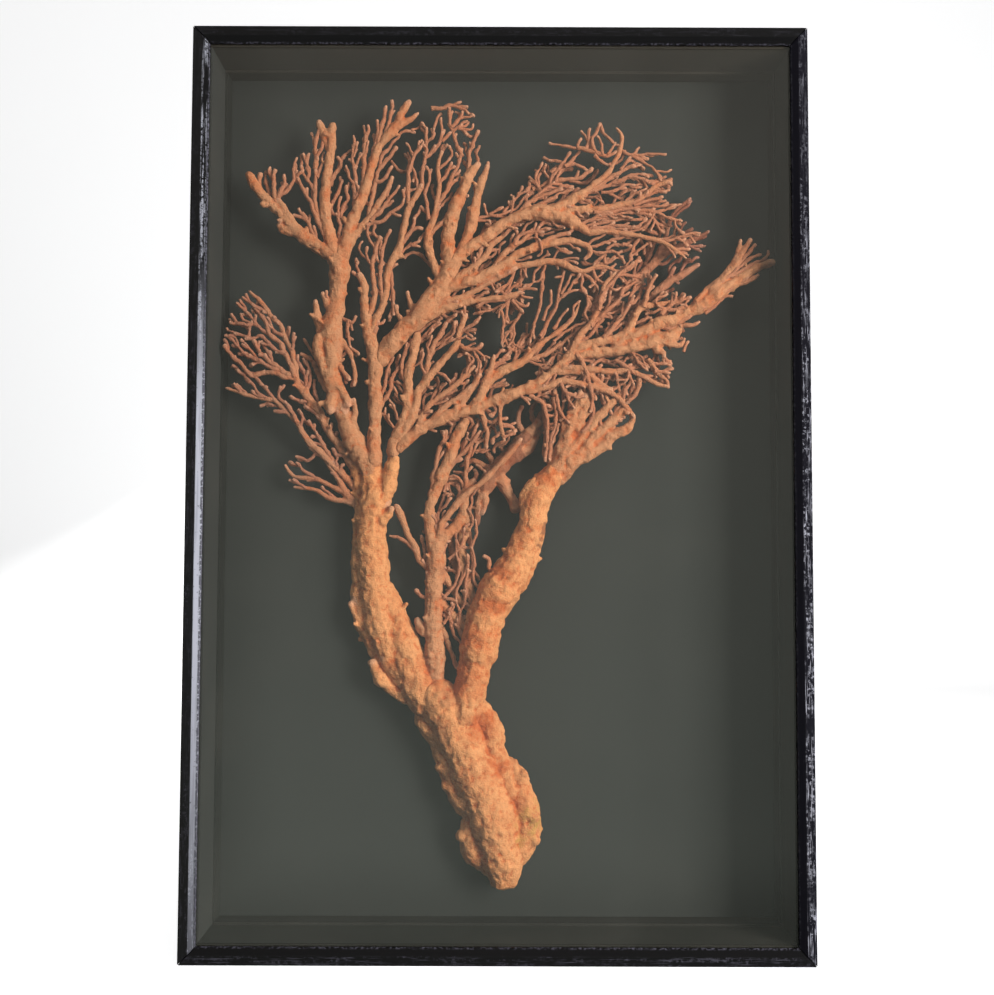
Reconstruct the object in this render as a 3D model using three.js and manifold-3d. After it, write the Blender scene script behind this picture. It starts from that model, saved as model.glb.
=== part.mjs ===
// Sea fan fixed in a glazed shadow box. Millimetres, +Z up, front towards -Y.
// The case stands on its bottom rail; the origin is at the middle of its footprint.
import * as THREE from 'three';
import { mergeVertices } from 'three/addons/utils/BufferGeometryUtils.js';
import Module from 'manifold-3d';

const wasm = await Module();
wasm.setup();

// ---------------------------------------------------------------- driving dimensions

const CASE = { width: 440, height: 660, depth: 68 };
const WALL = 8; // thickness of a rail behind its lip
const FACE = 6.5; // flat front of a rail, before the bevel
const LIP = { reach: 11.7, drop: 3.2, edge: 1 }; // bevelled lip over the glass
const GAP = 0.3; // clearance between pieces that touch
const GLASS_THICKNESS = 2.4;
const LINER = { inset: 12.2, depth: 44 }; // inner face and rear end of a liner board
const FILLET = { inset: 13.9, depth: 58.5 }; // inner face and rear end of a spacer fillet
const FRONT = -CASE.depth / 2;

const CORAL_CLEARANCE = 0.35; // gap kept between neighbouring limbs of the fan
const HEART = { x: -1.5, z: 287 }; // centre that the deeper limbs spread away from
const SPREAD = 770; // the fan is dished: a limb this far back would lie twice as wide
const STEP_LENGTH = 21; // shortest stretch of a limb between two section rings

// ---------------------------------------------------------------- materials

function lacqueredWood() {
  return new THREE.MeshStandardMaterial({ color: 0x161414, roughness: 0.4, metalness: 0 });
}

function clearGlass() {
  return new THREE.MeshStandardMaterial({
    color: 0xdfe8e4, roughness: 0.05, metalness: 0, transparent: true, opacity: 0.25,
  });
}

function linerPaint() {
  return new THREE.MeshStandardMaterial({ color: 0x4a4d4b, roughness: 0.8, metalness: 0 });
}

function filletPaint() {
  return new THREE.MeshStandardMaterial({ color: 0x2b2d2c, roughness: 0.85, metalness: 0 });
}

function backBoardPaint() {
  return new THREE.MeshStandardMaterial({ color: 0x34352f, roughness: 0.9, metalness: 0 });
}

function coralCrust() {
  return new THREE.MeshStandardMaterial({ color: 0xd8895a, roughness: 0.95, metalness: 0 });
}

// ---------------------------------------------------------------- solids

// A closed BufferGeometry from corner points and triangles.
function closedGeometry(points, triangles) {
  const geometry = new THREE.BufferGeometry();
  geometry.setAttribute('position', new THREE.Float32BufferAttribute(points.flatMap((p) => p.toArray()), 3));
  geometry.setIndex(triangles.flat());
  return geometry;
}

function toSolid(geometry) {
  const bare = geometry.clone();
  bare.deleteAttribute('normal');
  bare.deleteAttribute('uv');
  const merged = mergeVertices(bare);
  const vertProperties = Float32Array.from(merged.attributes.position.array);
  const triVerts = Uint32Array.from(merged.index.array);
  return new wasm.Manifold(new wasm.Mesh({ numProp: 3, vertProperties, triVerts }));
}

function toGeometry(solid) {
  const mesh = solid.getMesh();
  const geometry = new THREE.BufferGeometry();
  geometry.setAttribute('position', new THREE.Float32BufferAttribute(mesh.vertProperties, 3));
  geometry.setIndex(new THREE.Uint32BufferAttribute(mesh.triVerts, 1));
  geometry.computeVertexNormals();
  return geometry;
}

// A box given by its lowest and highest corner.
function boxBetween(low, high) {
  const size = new THREE.Vector3().subVectors(high, low);
  const middle = new THREE.Vector3().addVectors(low, high).multiplyScalar(0.5);
  return new THREE.BoxGeometry(size.x, size.y, size.z).translate(middle.x, middle.y, middle.z);
}

// Rings of equal length joined into one closed skin with flat ends.
function loftRings(rings) {
  const sides = rings[0].length;
  const points = rings.flat();
  const triangles = [];
  for (let ring = 0; ring + 1 < rings.length; ring += 1) {
    for (let side = 0; side < sides; side += 1) {
      const a = ring * sides + side;
      const b = ring * sides + ((side + 1) % sides);
      triangles.push([a, b, b + sides], [a, b + sides, a + sides]);
    }
  }
  const last = (rings.length - 1) * sides;
  for (let side = 1; side + 1 < sides; side += 1) {
    triangles.push([0, side + 1, side], [last, last + side, last + side + 1]);
  }
  return closedGeometry(points, triangles);
}

// ---------------------------------------------------------------- the case

// One rail's section, as [distance in from the outer edge, distance back from the front].
const RAIL_SECTION = [
  [0, 0],
  [FACE, 0],
  [LIP.reach, LIP.drop],
  [LIP.reach, LIP.drop + LIP.edge],
  [WALL, LIP.drop + LIP.edge],
  [WALL, CASE.depth],
  [0, CASE.depth],
];

// A mitred rail along the bottom edge of a case that measures `long` by `tall`.
function railGeometry(long, tall) {
  const mitreGap = GAP / Math.SQRT2;
  const points = [];
  for (const end of [-1, 1]) {
    for (const [inset, back] of RAIL_SECTION) {
      points.push(new THREE.Vector3(end * (long / 2 - inset - mitreGap), FRONT + back, inset - tall / 2));
    }
  }
  const count = RAIL_SECTION.length;
  const outline = RAIL_SECTION.map(([inset, back]) => new THREE.Vector2(back, inset));
  const faces = THREE.ShapeUtils.triangulateShape(outline, []);
  const triangles = [];
  for (const [a, b, c] of faces) {
    triangles.push([a, c, b], [a + count, b + count, c + count]);
  }
  for (let corner = 0; corner < count; corner += 1) {
    const next = (corner + 1) % count;
    triangles.push([corner, corner + count, next + count], [corner, next + count, next]);
  }
  return facingOut(closedGeometry(points, triangles));
}

// Turns every face round when the skin encloses a negative volume.
function facingOut(geometry) {
  const position = geometry.attributes.position;
  const index = geometry.index;
  const corner = [new THREE.Vector3(), new THREE.Vector3(), new THREE.Vector3()];
  let volume = 0;
  for (let i = 0; i < index.count; i += 3) {
    corner.forEach((point, k) => point.fromBufferAttribute(position, index.getX(i + k)));
    volume += corner[0].dot(corner[1].cross(corner[2]));
  }
  if (volume < 0) {
    geometry.setIndex(Array.from(index.array).reverse());
  }
  return geometry;
}

function addRails(group) {
  const middle = CASE.height / 2;
  const rails = [
    ['bottom_rail', CASE.width, CASE.height, 0],
    ['top_rail', CASE.width, CASE.height, Math.PI],
    ['left_rail', CASE.height, CASE.width, Math.PI / 2],
    ['right_rail', CASE.height, CASE.width, -Math.PI / 2],
  ];
  for (const [name, long, tall, turn] of rails) {
    const rail = new THREE.Mesh(railGeometry(long, tall), lacqueredWood());
    rail.name = name;
    rail.position.z = middle;
    rail.rotation.y = turn;
    group.add(rail);
  }
}

// A sheet that fills the case from wall to wall, between two depths.
function sheet(name, front, back, material) {
  const reach = CASE.width / 2 - WALL - GAP;
  const low = new THREE.Vector3(-reach, FRONT + front, WALL + GAP);
  const high = new THREE.Vector3(reach, FRONT + back, CASE.height - WALL - GAP);
  const mesh = new THREE.Mesh(boxBetween(low, high), material);
  mesh.name = name;
  return mesh;
}

// Four boards that line the walls: two across the case and two upright between them.
function addLining(group, kind, inset, front, back, paint) {
  const outer = WALL + GAP;
  const side = CASE.width / 2;
  const strips = [
    ['bottom', [outer - side, outer], [side - outer, inset]],
    ['top', [outer - side, CASE.height - inset], [side - outer, CASE.height - outer]],
    ['left', [outer - side, inset + GAP], [inset - side, CASE.height - inset - GAP]],
    ['right', [side - inset, inset + GAP], [side - outer, CASE.height - inset - GAP]],
  ];
  for (const [place, low, high] of strips) {
    const from = new THREE.Vector3(low[0], FRONT + front, low[1]);
    const to = new THREE.Vector3(high[0], FRONT + back, high[1]);
    const board = new THREE.Mesh(boxBetween(from, to), paint());
    board.name = `${place}_${kind}`;
    group.add(board);
  }
}

function addCase(group) {
  const glassFront = LIP.drop + LIP.edge + GAP;
  const glassBack = glassFront + GLASS_THICKNESS;
  addRails(group);
  group.add(sheet('glass_pane', glassFront, glassBack, clearGlass()));
  addLining(group, 'liner', LINER.inset, glassBack + GAP, LINER.depth, linerPaint);
  addLining(group, 'fillet', FILLET.inset, LINER.depth + GAP, FILLET.depth, filletPaint);
  group.add(sheet('back_board', FILLET.depth + GAP, CASE.depth, backBoardPaint()));
}

// ---------------------------------------------------------------- the fan's limbs

// A limb: its depth in the case at its two ends, then [x, z, radius] along it, root first.
function limb(rootDepth, tipDepth, ...run) {
  return { rootDepth, tipDepth, run };
}

// Each part of the fan with its limbs, from the holdfast up, in the order that they fork.
const FAN = {
  holdfast_trunk: [
    limb(9, 8, [4, 49, 8], [3, 60, 14], [1, 76, 16], [-3, 92, 17], [-10, 110, 17], [-17, 126, 17],
      [-24, 142, 16], [-31, 156, 16], [-38, 170, 17], [-46, 180, 15]),
    limb(11, 10, [11, 58, 7], [18, 74, 10], [22, 88, 10], [19, 104, 8.5], [15, 118, 8], [8, 129, 7]),
    limb(13, 12, [-7, 57, 6], [-15, 68, 10], [-18, 80, 10], [-17, 94, 9], [-24, 108, 11],
      [-32, 122, 10], [-37, 136, 9], [-43, 150, 9], [-52, 164, 10]),
    limb(8, 9, [10, 112, 8], [5, 126, 8], [-2, 138, 7.5], [-3.5, 148, 8], [-5, 157, 8], [-13, 170, 9]),
    limb(8, 8, [-34, 158, 13], [-26, 170, 14], [-21, 180, 13]),
    limb(12, 8, [-34, 124, 5], [-42, 129, 4], [-46, 131, 2.4]),
    limb(12, 8, [-31, 112, 6], [-38, 116, 4], [-42, 117, 2.4]),
    limb(8, 4, [14, 118, 5], [19, 124, 3.4], [21, 126, 2]),
    limb(7, 4, [22, 96, 6], [27, 92, 5], [30, 88, 3]),
    limb(7, 5, [22, 80, 6], [27, 76, 4.4], [28, 72, 2.6]),
    limb(11, 8, [-18, 84, 6], [-26, 79, 4.4], [-28, 76, 2.6]),
  ],
  left_main_limb: [
    limb(10, 9, [-50, 174, 14], [-57, 187, 14], [-63, 200, 13.5], [-67, 214, 13], [-70, 228, 12.5],
      [-72, 242, 12], [-74, 254, 11], [-78, 266, 10]),
    limb(12, 10, [-62, 188, 10], [-74, 203, 11], [-80, 218, 11], [-86, 232, 12], [-89, 248, 12],
      [-91, 262, 12], [-92, 277, 11.5], [-93, 292, 11], [-93, 307, 11.5], [-91, 322, 11.5], [-92, 336, 10],
      [-93, 348, 9]),
    limb(14, 12, [-82, 190, 4], [-87, 204, 4.5], [-93, 220, 5.5], [-98, 234, 7], [-101, 250, 6.5],
      [-101, 266, 6.5], [-101, 284, 6], [-102, 300, 5], [-100, 316, 5], [-101, 332, 6], [-103, 346, 6.5]),
    limb(7, 5, [-86, 318, 6], [-82, 330, 6], [-79, 342, 5.5], [-77, 352, 5]),
    limb(10, 6, [-66, 178, 5], [-77, 184, 4.4], [-86, 192, 4.2], [-89, 198, 3.2], [-92, 204, 2.6]),
    limb(12, 9, [-84, 192, 3.4], [-87, 206, 3.4], [-91, 216, 3.6], [-97, 225, 3.2], [-103, 236, 2.6],
      [-108, 246, 1.8]),
    limb(7, 5, [-74, 258, 6], [-71, 267, 4], [-69, 279, 2.2]),
    limb(4, 2, [-86, 306, 4], [-81, 311, 3], [-78, 316, 2]),
  ],
  right_main_limb: [
    limb(9, 8, [-22, 174, 13], [-20, 186, 12], [-17, 200, 12], [-14, 214, 13.5], [-11, 228, 13.5],
      [-7, 242, 13.5], [0, 255, 13.5], [8, 267, 13], [14, 279, 12], [19, 291, 11], [24, 303, 10],
      [26, 316, 10.5], [31, 329, 11], [39, 340, 10.5], [45, 348, 9.5]),
    limb(12, 10, [10, 256, 6], [17, 265, 6.5], [21, 275, 6.5], [24, 286, 6.5], [28, 297, 5.5], [30, 308, 4]),
    limb(5, 4, [18, 317, 3.4], [20, 326, 4.5], [26, 335, 4.5]),
    limb(5, 4, [49, 344, 4], [50, 337, 3.6], [52, 331, 1.8]),
    limb(4, 1, [-3, 268, 2], [-7, 272, 1.6], [-7, 279, 1.6], [-11, 281, 1.4]),
  ],
  centre_limb: [
    limb(8, 6, [-46, 190, 7], [-46.5, 205, 7.2], [-46.5, 220, 7], [-47.3, 235, 6], [-47.3, 250, 6],
      [-46.7, 265, 6.8], [-45.5, 280, 6.5], [-46, 290, 6.5]),
    limb(6, 8, [-48, 288, 4.5], [-50, 300, 4.2], [-51, 311, 4], [-49, 321, 4], [-46, 329, 4.2],
      [-43, 337, 4.4], [-39, 346, 4.5], [-35, 356, 4.6], [-32, 366, 4.4], [-28, 374, 4], [-24, 381, 3.6]),
    limb(4, 1, [-43, 292, 3], [-42, 304, 2.4], [-37, 311, 2.3], [-30, 320, 2.3], [-21, 329, 2.2],
      [-10, 337, 2.2], [1, 349, 2.1], [7, 355, 2], [12, 361, 1.8], [16, 367, 1.4]),
    limb(6, 8, [-43, 290, 4], [-37, 297, 4], [-30, 304, 3.8], [-26, 312, 3.5], [-25, 322, 3.4],
      [-23, 331, 3], [-18, 336, 2.4]),
    limb(8, 9, [-25, 316, 3.4], [-24, 302, 3.6], [-27, 291, 3.4], [-27, 278, 3.3], [-25, 267, 3.3],
      [-21, 256, 3.4], [-17, 246, 3.4]),
    limb(8, 9, [-22, 302, 1.8], [-20, 285, 1.7], [-19, 274, 1.6], [-14, 263, 1.7]),
    limb(8, 8, [-43, 250, 3.5], [-36, 241, 3.2], [-29, 234, 3.2], [-25, 228, 3]),
    limb(8, 8, [-41, 268, 2.8], [-34, 258, 2.4], [-29, 250, 2.4], [-22, 243, 2.4]),
    limb(8, 9, [-41, 228, 2.4], [-37, 218, 2], [-33, 208, 2], [-30, 199, 2]),
    limb(12, 13, [-36, 297, 2.6], [-34, 284, 2.6], [-32, 273, 2.4], [-27, 266, 2.2]),
    limb(7, 5, [-47, 266, 2.6], [-52, 272, 2.2], [-58, 278, 2.2], [-61, 287, 2.3], [-66, 296, 2.4],
      [-70, 307, 2.5], [-75, 317, 2.6]),
    limb(6, 6, [-59, 282, 1.6], [-66, 290, 1.6], [-73, 294, 1.5], [-80, 296, 1.4]),
    limb(8, 7, [-50, 224, 4], [-55, 227, 4], [-59, 234, 2.6]),
    limb(8, 7, [-47, 250, 2], [-52, 250, 1.6], [-57, 253, 1.6], [-61, 257, 1.6]),
    limb(7, 7, [-50, 322, 2.2], [-48, 337, 1.8], [-47, 344, 1.7], [-45, 352, 1.6], [-44, 359, 1.6],
      [-40, 366, 1.6], [-38, 374, 1.5]),
    limb(6, 4, [-36, 346, 2], [-30, 353, 1.7], [-24, 360, 1.6], [-18, 367, 1.4], [-14, 373, 1.2]),
    limb(6, 5, [-24, 330, 2], [-24, 349, 1.5], [-21, 359, 1.5], [-19, 370, 1.4], [-16, 378, 1.2]),
  ],
  upper_left_stem: [
    limb(8, 2, [-97, 350, 8], [-103, 359, 7.5], [-109, 370, 7.2], [-113, 381, 6.5], [-118, 394, 6],
      [-122, 408, 6.5], [-123, 422, 7], [-123, 436, 8], [-124, 450, 8.2], [-121, 462, 6.5],
      [-120, 472, 6], [-119, 482, 6.5], [-118, 492, 8.5], [-119, 501, 8]),
    limb(3, 0, [-125, 410, 4], [-131, 424, 3.5], [-134, 436, 4], [-133, 443, 3.2]),
    limb(4, 3, [-128, 440, 4], [-133, 452, 3], [-135, 462, 2.5], [-136, 469, 2]),
    limb(2, 0, [-124, 458, 3], [-127, 466, 2.5], [-131, 475, 1.8]),
    limb(3, 0, [-122, 400, 4], [-125, 392, 4], [-124, 387, 2.6]),
    limb(3, 0, [-119, 406, 4], [-113, 398, 3], [-111, 391, 2]),
    limb(4, 2, [-110, 376, 3], [-106, 386, 2.4], [-107, 396, 1.8]),
    limb(3, 1, [-118, 441, 2.5], [-110, 430, 1.8], [-107, 420, 1.6], [-106, 412, 1.5], [-107, 406, 1.3]),
    limb(3, 2, [-119, 424, 2.4], [-115, 417, 2.4], [-110, 410, 1.6]),
    limb(3, 1, [-119, 458, 1.6], [-113, 455, 1.4], [-109, 453, 1.4], [-105, 458, 1.2]),
    limb(2, 1, [-112, 455, 1.4], [-112, 444, 1.4], [-109, 434, 1.3]),
    limb(5, 9, [-124, 400, 2.4], [-130, 408, 1.9], [-135, 419, 1.6], [-138, 424, 1.4], [-147, 430, 1.1]),
    limb(8, 10, [-135, 419, 1.4], [-136, 427, 1.3], [-140, 433, 1.2], [-145, 441, 1.1]),
  ],
  left_finger: [
    limb(2, 0, [-122, 504, 5.5], [-130, 506, 5], [-137, 509, 5], [-145, 516, 5], [-155, 523, 5],
      [-163, 533, 4.5], [-170, 541, 4], [-177, 549, 3.8], [-182, 556, 3.4], [-185, 563, 2.2]),
    limb(0, 0, [-157, 526, 2], [-160, 536, 1.6], [-164, 545, 1.5], [-168, 553, 1.4], [-168, 568, 1.1]),
    limb(1, 1, [-161, 536, 1.5], [-160, 550, 1.4], [-160, 563, 1.1]),
    limb(2, 1, [-151, 522, 2], [-154, 540, 1.5], [-154, 556, 1.4], [-150, 576, 1.1]),
    limb(0, 0, [-176, 546, 1.6], [-178, 554, 1.3], [-179, 566, 1]),
    limb(1, 0, [-135, 510, 2.4], [-138, 522, 1.7], [-142, 531, 1.5], [-150, 539, 1.2]),
    limb(1, 0, [-141, 529, 1.4], [-147, 532, 1.3], [-153, 534, 1.1]),
  ],
  tall_finger: [
    limb(2, 0, [-121, 503, 6], [-124, 512, 5.2], [-127, 522, 4.5], [-129, 534, 4], [-131, 545, 3.8],
      [-130, 556, 3.6], [-128, 569, 3.4], [-126, 583, 3.2], [-125, 594, 3], [-125, 602, 2]),
    limb(2, 2, [-130, 545, 2.8], [-136, 560, 2.6], [-137, 575, 2.5], [-136, 586, 2.4], [-134, 604, 1.6]),
    limb(2, 2, [-128, 528, 2], [-138, 541, 1.5], [-145, 553, 1.3], [-150, 562, 1.1]),
    limb(3, 3, [-131, 546, 1.8], [-138, 557, 1.4], [-142, 566, 1.3], [-146, 579, 1.1]),
  ],
  crown_finger: [
    limb(2, 0, [-117, 502, 6], [-114, 511, 5.4], [-112, 522, 4.5], [-108, 535, 4.2], [-101, 549, 4],
      [-97, 560, 4], [-95, 571, 4], [-91, 583, 4], [-84, 593, 4], [-78, 602, 3.6], [-72, 613, 3.2],
      [-68, 620, 2]),
    limb(0, 0, [-77, 603, 2.4], [-70, 604, 1.8], [-65, 608, 1.6], [-62, 612, 1.2]),
    limb(1, 1, [-86, 592, 2], [-87, 606, 1.4], [-86, 616, 1.1]),
    limb(1, 1, [-80, 600, 2], [-82, 612, 1.3], [-82, 622, 1]),
    limb(1, 0, [-113, 514, 2.4], [-100, 525, 1.8], [-93, 531, 1.6], [-82, 535, 1.4], [-75, 540, 1.1]),
    limb(1, 0, [-100, 525, 1.7], [-96, 535, 1.5], [-88, 547, 1.4], [-82, 557, 1.1]),
    limb(1, 1, [-109, 534, 2], [-113, 545, 1.5], [-114, 558, 1.2]),
    limb(0, 0, [-97, 560, 2], [-103, 572, 1.5], [-105, 586, 1.2]),
    limb(0, 0, [-95, 571, 1.8], [-84, 578, 1.5], [-76, 588, 1.2]),
  ],
  left_side_fan: [
    limb(12, 2, [-106, 346, 4], [-117, 361, 3], [-126, 374, 2.8], [-133, 388, 2.7], [-143, 400, 2.6],
      [-150, 411, 2.6], [-151, 423, 2.4], [-153, 432, 2.2], [-159, 443, 2], [-161, 450, 1.9],
      [-169, 458, 1.8], [-176, 468, 1.6], [-185, 476, 1.3]),
    limb(3, 3, [-170, 460, 1.5], [-181, 465, 1.4], [-190, 472, 1.2]),
    limb(6, 3, [-150, 412, 2.2], [-158, 430, 1.8], [-162, 438, 1.7], [-170, 444, 1.6], [-172, 452, 1.5],
      [-179, 461, 1.4], [-182, 465, 1.2]),
    limb(5, 3, [-169, 443, 1.6], [-178, 450, 1.4], [-187.5, 461, 1.4], [-194, 468, 1.2]),
    limb(4, 3, [-178, 450, 1.4], [-184, 452, 1.3], [-190, 455, 1.2], [-192, 460, 1]),
    limb(5, 4, [-160, 443, 1.6], [-166, 446, 1.3], [-169, 452, 1.1]),
    limb(5, 3, [-157, 429, 1.7], [-167, 434, 1.4], [-175, 443, 1.3], [-181, 441, 1.3], [-190, 443, 1.2],
      [-196, 445, 1.1]),
    limb(4, 4, [-185, 441, 1.3], [-184.5, 449, 1]),
    limb(7, 4, [-149, 411, 2.3], [-158, 416, 1.9], [-167, 422, 1.6], [-173, 427, 1.5], [-178, 432, 1.4],
      [-181, 440, 1.2]),
    limb(5, 5, [-167, 422, 1.5], [-169, 428, 1.2], [-172, 433, 1]),
    limb(6, 3, [-158, 416, 1.9], [-169, 419, 1.5], [-176, 424, 1.4], [-186, 428, 1.3], [-193, 435, 1.3],
      [-202, 444, 1.1]),
    limb(4, 4, [-192, 434, 1.3], [-194.5, 441, 1]),
    limb(5, 4, [-179, 426, 1.3], [-184, 432, 1.2], [-188, 438, 1]),
    limb(7, 2, [-149, 411, 2.3], [-156, 412, 1.9], [-163, 415, 1.7], [-169, 416, 1.6], [-176, 415, 1.5],
      [-182, 413, 1.4], [-187, 418, 1.4], [-192, 424, 1.4], [-199, 429, 1.3], [-203, 436, 1.1]),
    limb(5, 5, [-181, 413, 1.4], [-172, 404, 1.3], [-165, 395, 1.5]),
    limb(9, 7, [-133, 388, 1.8], [-138, 393, 1.5], [-146, 395, 1.2]),
    limb(9, 8, [-143, 400, 1.8], [-142, 412, 1.4], [-147, 422, 1.1]),
    limb(9, 9, [-142, 402, 1.6], [-139, 412, 1.3], [-143, 425, 1]),
    limb(5, 4, [-153, 432, 1.6], [-152, 438, 1.2], [-150, 443, 1]),
    limb(11, 8, [-117, 361, 2], [-129, 377, 1.6], [-136, 386, 1.4], [-143, 391, 1.1]),
  ],
  left_lower_fan: [
    limb(12, 3, [-104, 330, 3], [-113, 339, 2.6], [-122, 348, 2.4], [-131, 357, 2.3], [-138, 363, 2.3],
      [-144, 370, 2.2], [-148, 378, 2.2], [-157, 387, 2], [-165, 395, 1.8], [-172, 396, 1.6],
      [-182, 398, 1.5], [-192, 401, 1.4], [-201, 404, 1.2]),
    limb(4, 4, [-171, 396, 1.6], [-178, 401, 1.3], [-181, 406, 1.3], [-186, 410, 1.1]),
    limb(5, 4, [-148, 378, 2], [-154, 388, 1.6], [-159, 395, 1.3]),
    limb(5, 4, [-156, 386, 1.7], [-166, 387, 1.3]),
    limb(12, 8, [-120, 347, 2], [-127, 358, 1.8], [-133, 369, 1.6], [-140, 381, 1.2]),
  ],
  left_root_fan: [
    limb(13, 11, [-102, 318, 3], [-112, 326, 2.2], [-121, 331, 1.9], [-134, 337, 1.7], [-150, 339, 1.4],
      [-157, 347, 1.1]),
    limb(12, 10, [-132, 336, 1.6], [-141, 342, 1.4], [-149, 349, 1.1]),
    limb(13, 12, [-102, 315, 3], [-109, 320, 2.2], [-124, 323, 1.8], [-134, 329, 1.6], [-150, 331, 1.1]),
    limb(13, 10, [-104, 320, 2.6], [-112, 328, 2.2], [-119, 339, 1.9], [-128, 352, 1.6], [-139, 360, 1.1]),
  ],
  inner_left_limb: [
    limb(6, 2, [-92, 350, 6.4], [-92, 362, 5.5], [-91.5, 374, 5], [-91, 386, 5], [-91, 398, 5],
      [-91.5, 410, 4.8], [-91, 421, 6], [-93, 432, 5], [-96, 444, 4.6], [-98, 456, 4],
      [-99.5, 468, 3], [-100, 481, 2.8], [-104, 489, 2.2]),
    limb(2, 0, [-94, 442, 3], [-92, 453, 2.8], [-87, 464, 2.6], [-84, 474, 2.6], [-83, 489, 2.6],
      [-80, 500, 2.5], [-74, 513, 2.3], [-71, 528, 2.2], [-69, 542, 2.1], [-69, 557, 2],
      [-68, 568, 1.8], [-64, 580, 1.6], [-60, 589, 1.2]),
    limb(1, 0, [-80, 499, 2], [-74, 504, 1.6], [-68, 511, 1.4], [-59, 515, 1.1]),
    limb(1, 0, [-69, 541, 2], [-60, 554, 1.6], [-57, 576, 1.5], [-56, 587, 1.4], [-50, 600, 1.1]),
    limb(2, 1, [-97, 455, 2.4], [-93, 467, 2.1], [-92, 478, 2], [-94, 491, 1.9], [-93, 504, 1.7],
      [-88, 518, 1.3]),
    limb(1, 1, [-86, 466, 2], [-88, 480, 1.8], [-88, 496, 1.7], [-86, 510, 1.6], [-81, 523, 1.2]),
    limb(2, 2, [-81, 497, 1.8], [-80, 484, 1.7], [-78.5, 470, 1.6], [-78, 458, 1.4]),
    limb(2, 1, [-94, 440, 2], [-91, 449, 1.6], [-89, 455, 1.2]),
    limb(5, 5, [-87, 392, 1.9], [-81, 401, 1.7], [-79, 411, 1.6], [-74, 421, 1.5]),
    limb(5, 5, [-87, 398, 1.7], [-84, 408, 1.5], [-82, 418, 1.4], [-78, 428, 1.2]),
  ],
  inner_upper_limb: [
    limb(4, 0, [-88, 424, 5], [-84, 431, 6.2], [-77, 440, 7], [-69, 449, 7], [-60, 457, 7.5],
      [-53, 466, 7.5], [-47, 475, 7.5], [-41, 485, 6.5], [-37, 495, 6], [-38, 506, 5.5],
      [-38, 518, 5.2], [-36, 530, 5], [-32, 542, 4.6], [-27, 554, 4.2], [-22, 565, 3.8], [-16, 572, 2.4]),
    limb(1, 0, [-38, 490, 4], [-31, 501, 4], [-25, 514, 4], [-20, 530, 3.8], [-17, 545, 3.4],
      [-14, 557, 3], [-9, 571, 1.8]),
    limb(0, 0, [-23, 562, 2], [-22, 583, 1.6], [-17, 599, 1.1]),
    limb(1, 0, [-40, 500, 2.4], [-48, 515, 1.8], [-52, 530, 1.6], [-56, 542, 1.5], [-53, 561, 1.3],
      [-55, 571, 1]),
    limb(0, 0, [-40, 508, 2.2], [-47, 524, 1.8], [-49, 542, 1.6], [-47, 561, 1.5], [-44, 582, 1.3],
      [-39, 596, 1.3], [-38, 610, 1]),
    limb(1, 1, [-38, 522, 2.2], [-43, 534, 1.8], [-43, 546, 1.7], [-37, 557, 1.6], [-31, 572, 1.5],
      [-33, 590, 1.3], [-28, 604, 1.2], [-28, 619, 1]),
    limb(0, 0, [-44, 582, 1.3], [-48, 600, 1.2], [-51, 615, 1]),
    limb(1, 1, [-31, 598, 1.2], [-25, 606, 1.1], [-20, 611, 1]),
    limb(3, 3, [-63, 460, 3], [-66, 468, 2.2], [-68, 476, 1.4]),
    limb(2, 2, [-72, 452, 2.4], [-75, 460, 2], [-76, 466, 1.2]),
  ],
  upper_right_fan: [
    limb(0, 1, [-39, 488, 4.6], [-33, 492, 4.6], [-26, 499, 4.5], [-17, 510, 4.2], [-5, 520, 4],
      [8, 527, 3.8], [20, 530, 3.8], [34, 534, 4], [45, 536, 4], [56, 548, 3.2], [67, 555, 3],
      [78, 562, 2.6], [86, 572, 2.4], [90, 582, 2.2], [90, 593, 2], [87, 601, 1.3]),
    limb(1, 0, [44, 536, 4], [55, 530, 4], [67, 523, 3.6], [86, 521, 3], [105, 518, 2.6],
      [118, 515, 2.2], [127, 510, 1.8], [137, 502, 1.2]),
    limb(0, 0, [116, 515, 2], [131, 518, 1.6], [142, 520, 1.4], [151, 520, 1.1]),
    limb(1, 0, [54, 531, 3.4], [68, 534, 2.6], [82, 537, 2.3], [97, 539, 2.1], [112, 538, 1.9],
      [131, 542, 1.1]),
    limb(0, 0, [110, 538, 1.8], [124, 534, 1.5], [135, 531, 1.1]),
    limb(1, 0, [105, 519, 2], [120, 524, 1.6], [134, 523, 1.1]),
    limb(0, 0, [86, 537, 2], [100, 544, 1.7], [112, 552, 1.5], [120, 557, 1.4], [127, 561, 1.1]),
    limb(0, 0, [84, 569, 2], [91, 566, 1.6], [99, 563, 1.4], [108, 565, 1.3], [112, 559, 1]),
    limb(0, 0, [89, 580, 2], [100, 580, 1.5], [111, 581, 1.4], [123, 581, 1.1]),
    limb(0, 0, [99, 580, 1.5], [109, 572, 1.3], [117, 567, 1.2], [120, 561, 1]),
    limb(1, 1, [66, 554, 2.2], [63, 568, 1.9], [64, 581, 1.8], [70, 592, 1.3], [75, 604, 1]),
    limb(1, 1, [64, 580, 1.7], [58, 589, 1.4], [61, 599, 1]),
    limb(1, 1, [64, 580, 1.6], [52, 585, 1.3], [45, 586, 1.2], [37, 589, 1]),
    limb(1, 1, [-20, 506, 2.4], [-18, 518, 1.7], [-10, 528, 1.5], [-2, 535, 1.3], [2, 541, 1]),
    limb(1, 1, [6, 526, 2.2], [10, 539, 1.5], [9, 551, 1]),
    limb(1, 1, [12, 528, 2.2], [16, 543, 1.7], [20, 553, 1.5], [25, 564, 1.3], [29, 573, 1]),
    limb(1, 1, [32, 533, 2.2], [38, 548, 1.6], [42, 560, 1.4], [45, 573, 1]),
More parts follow.
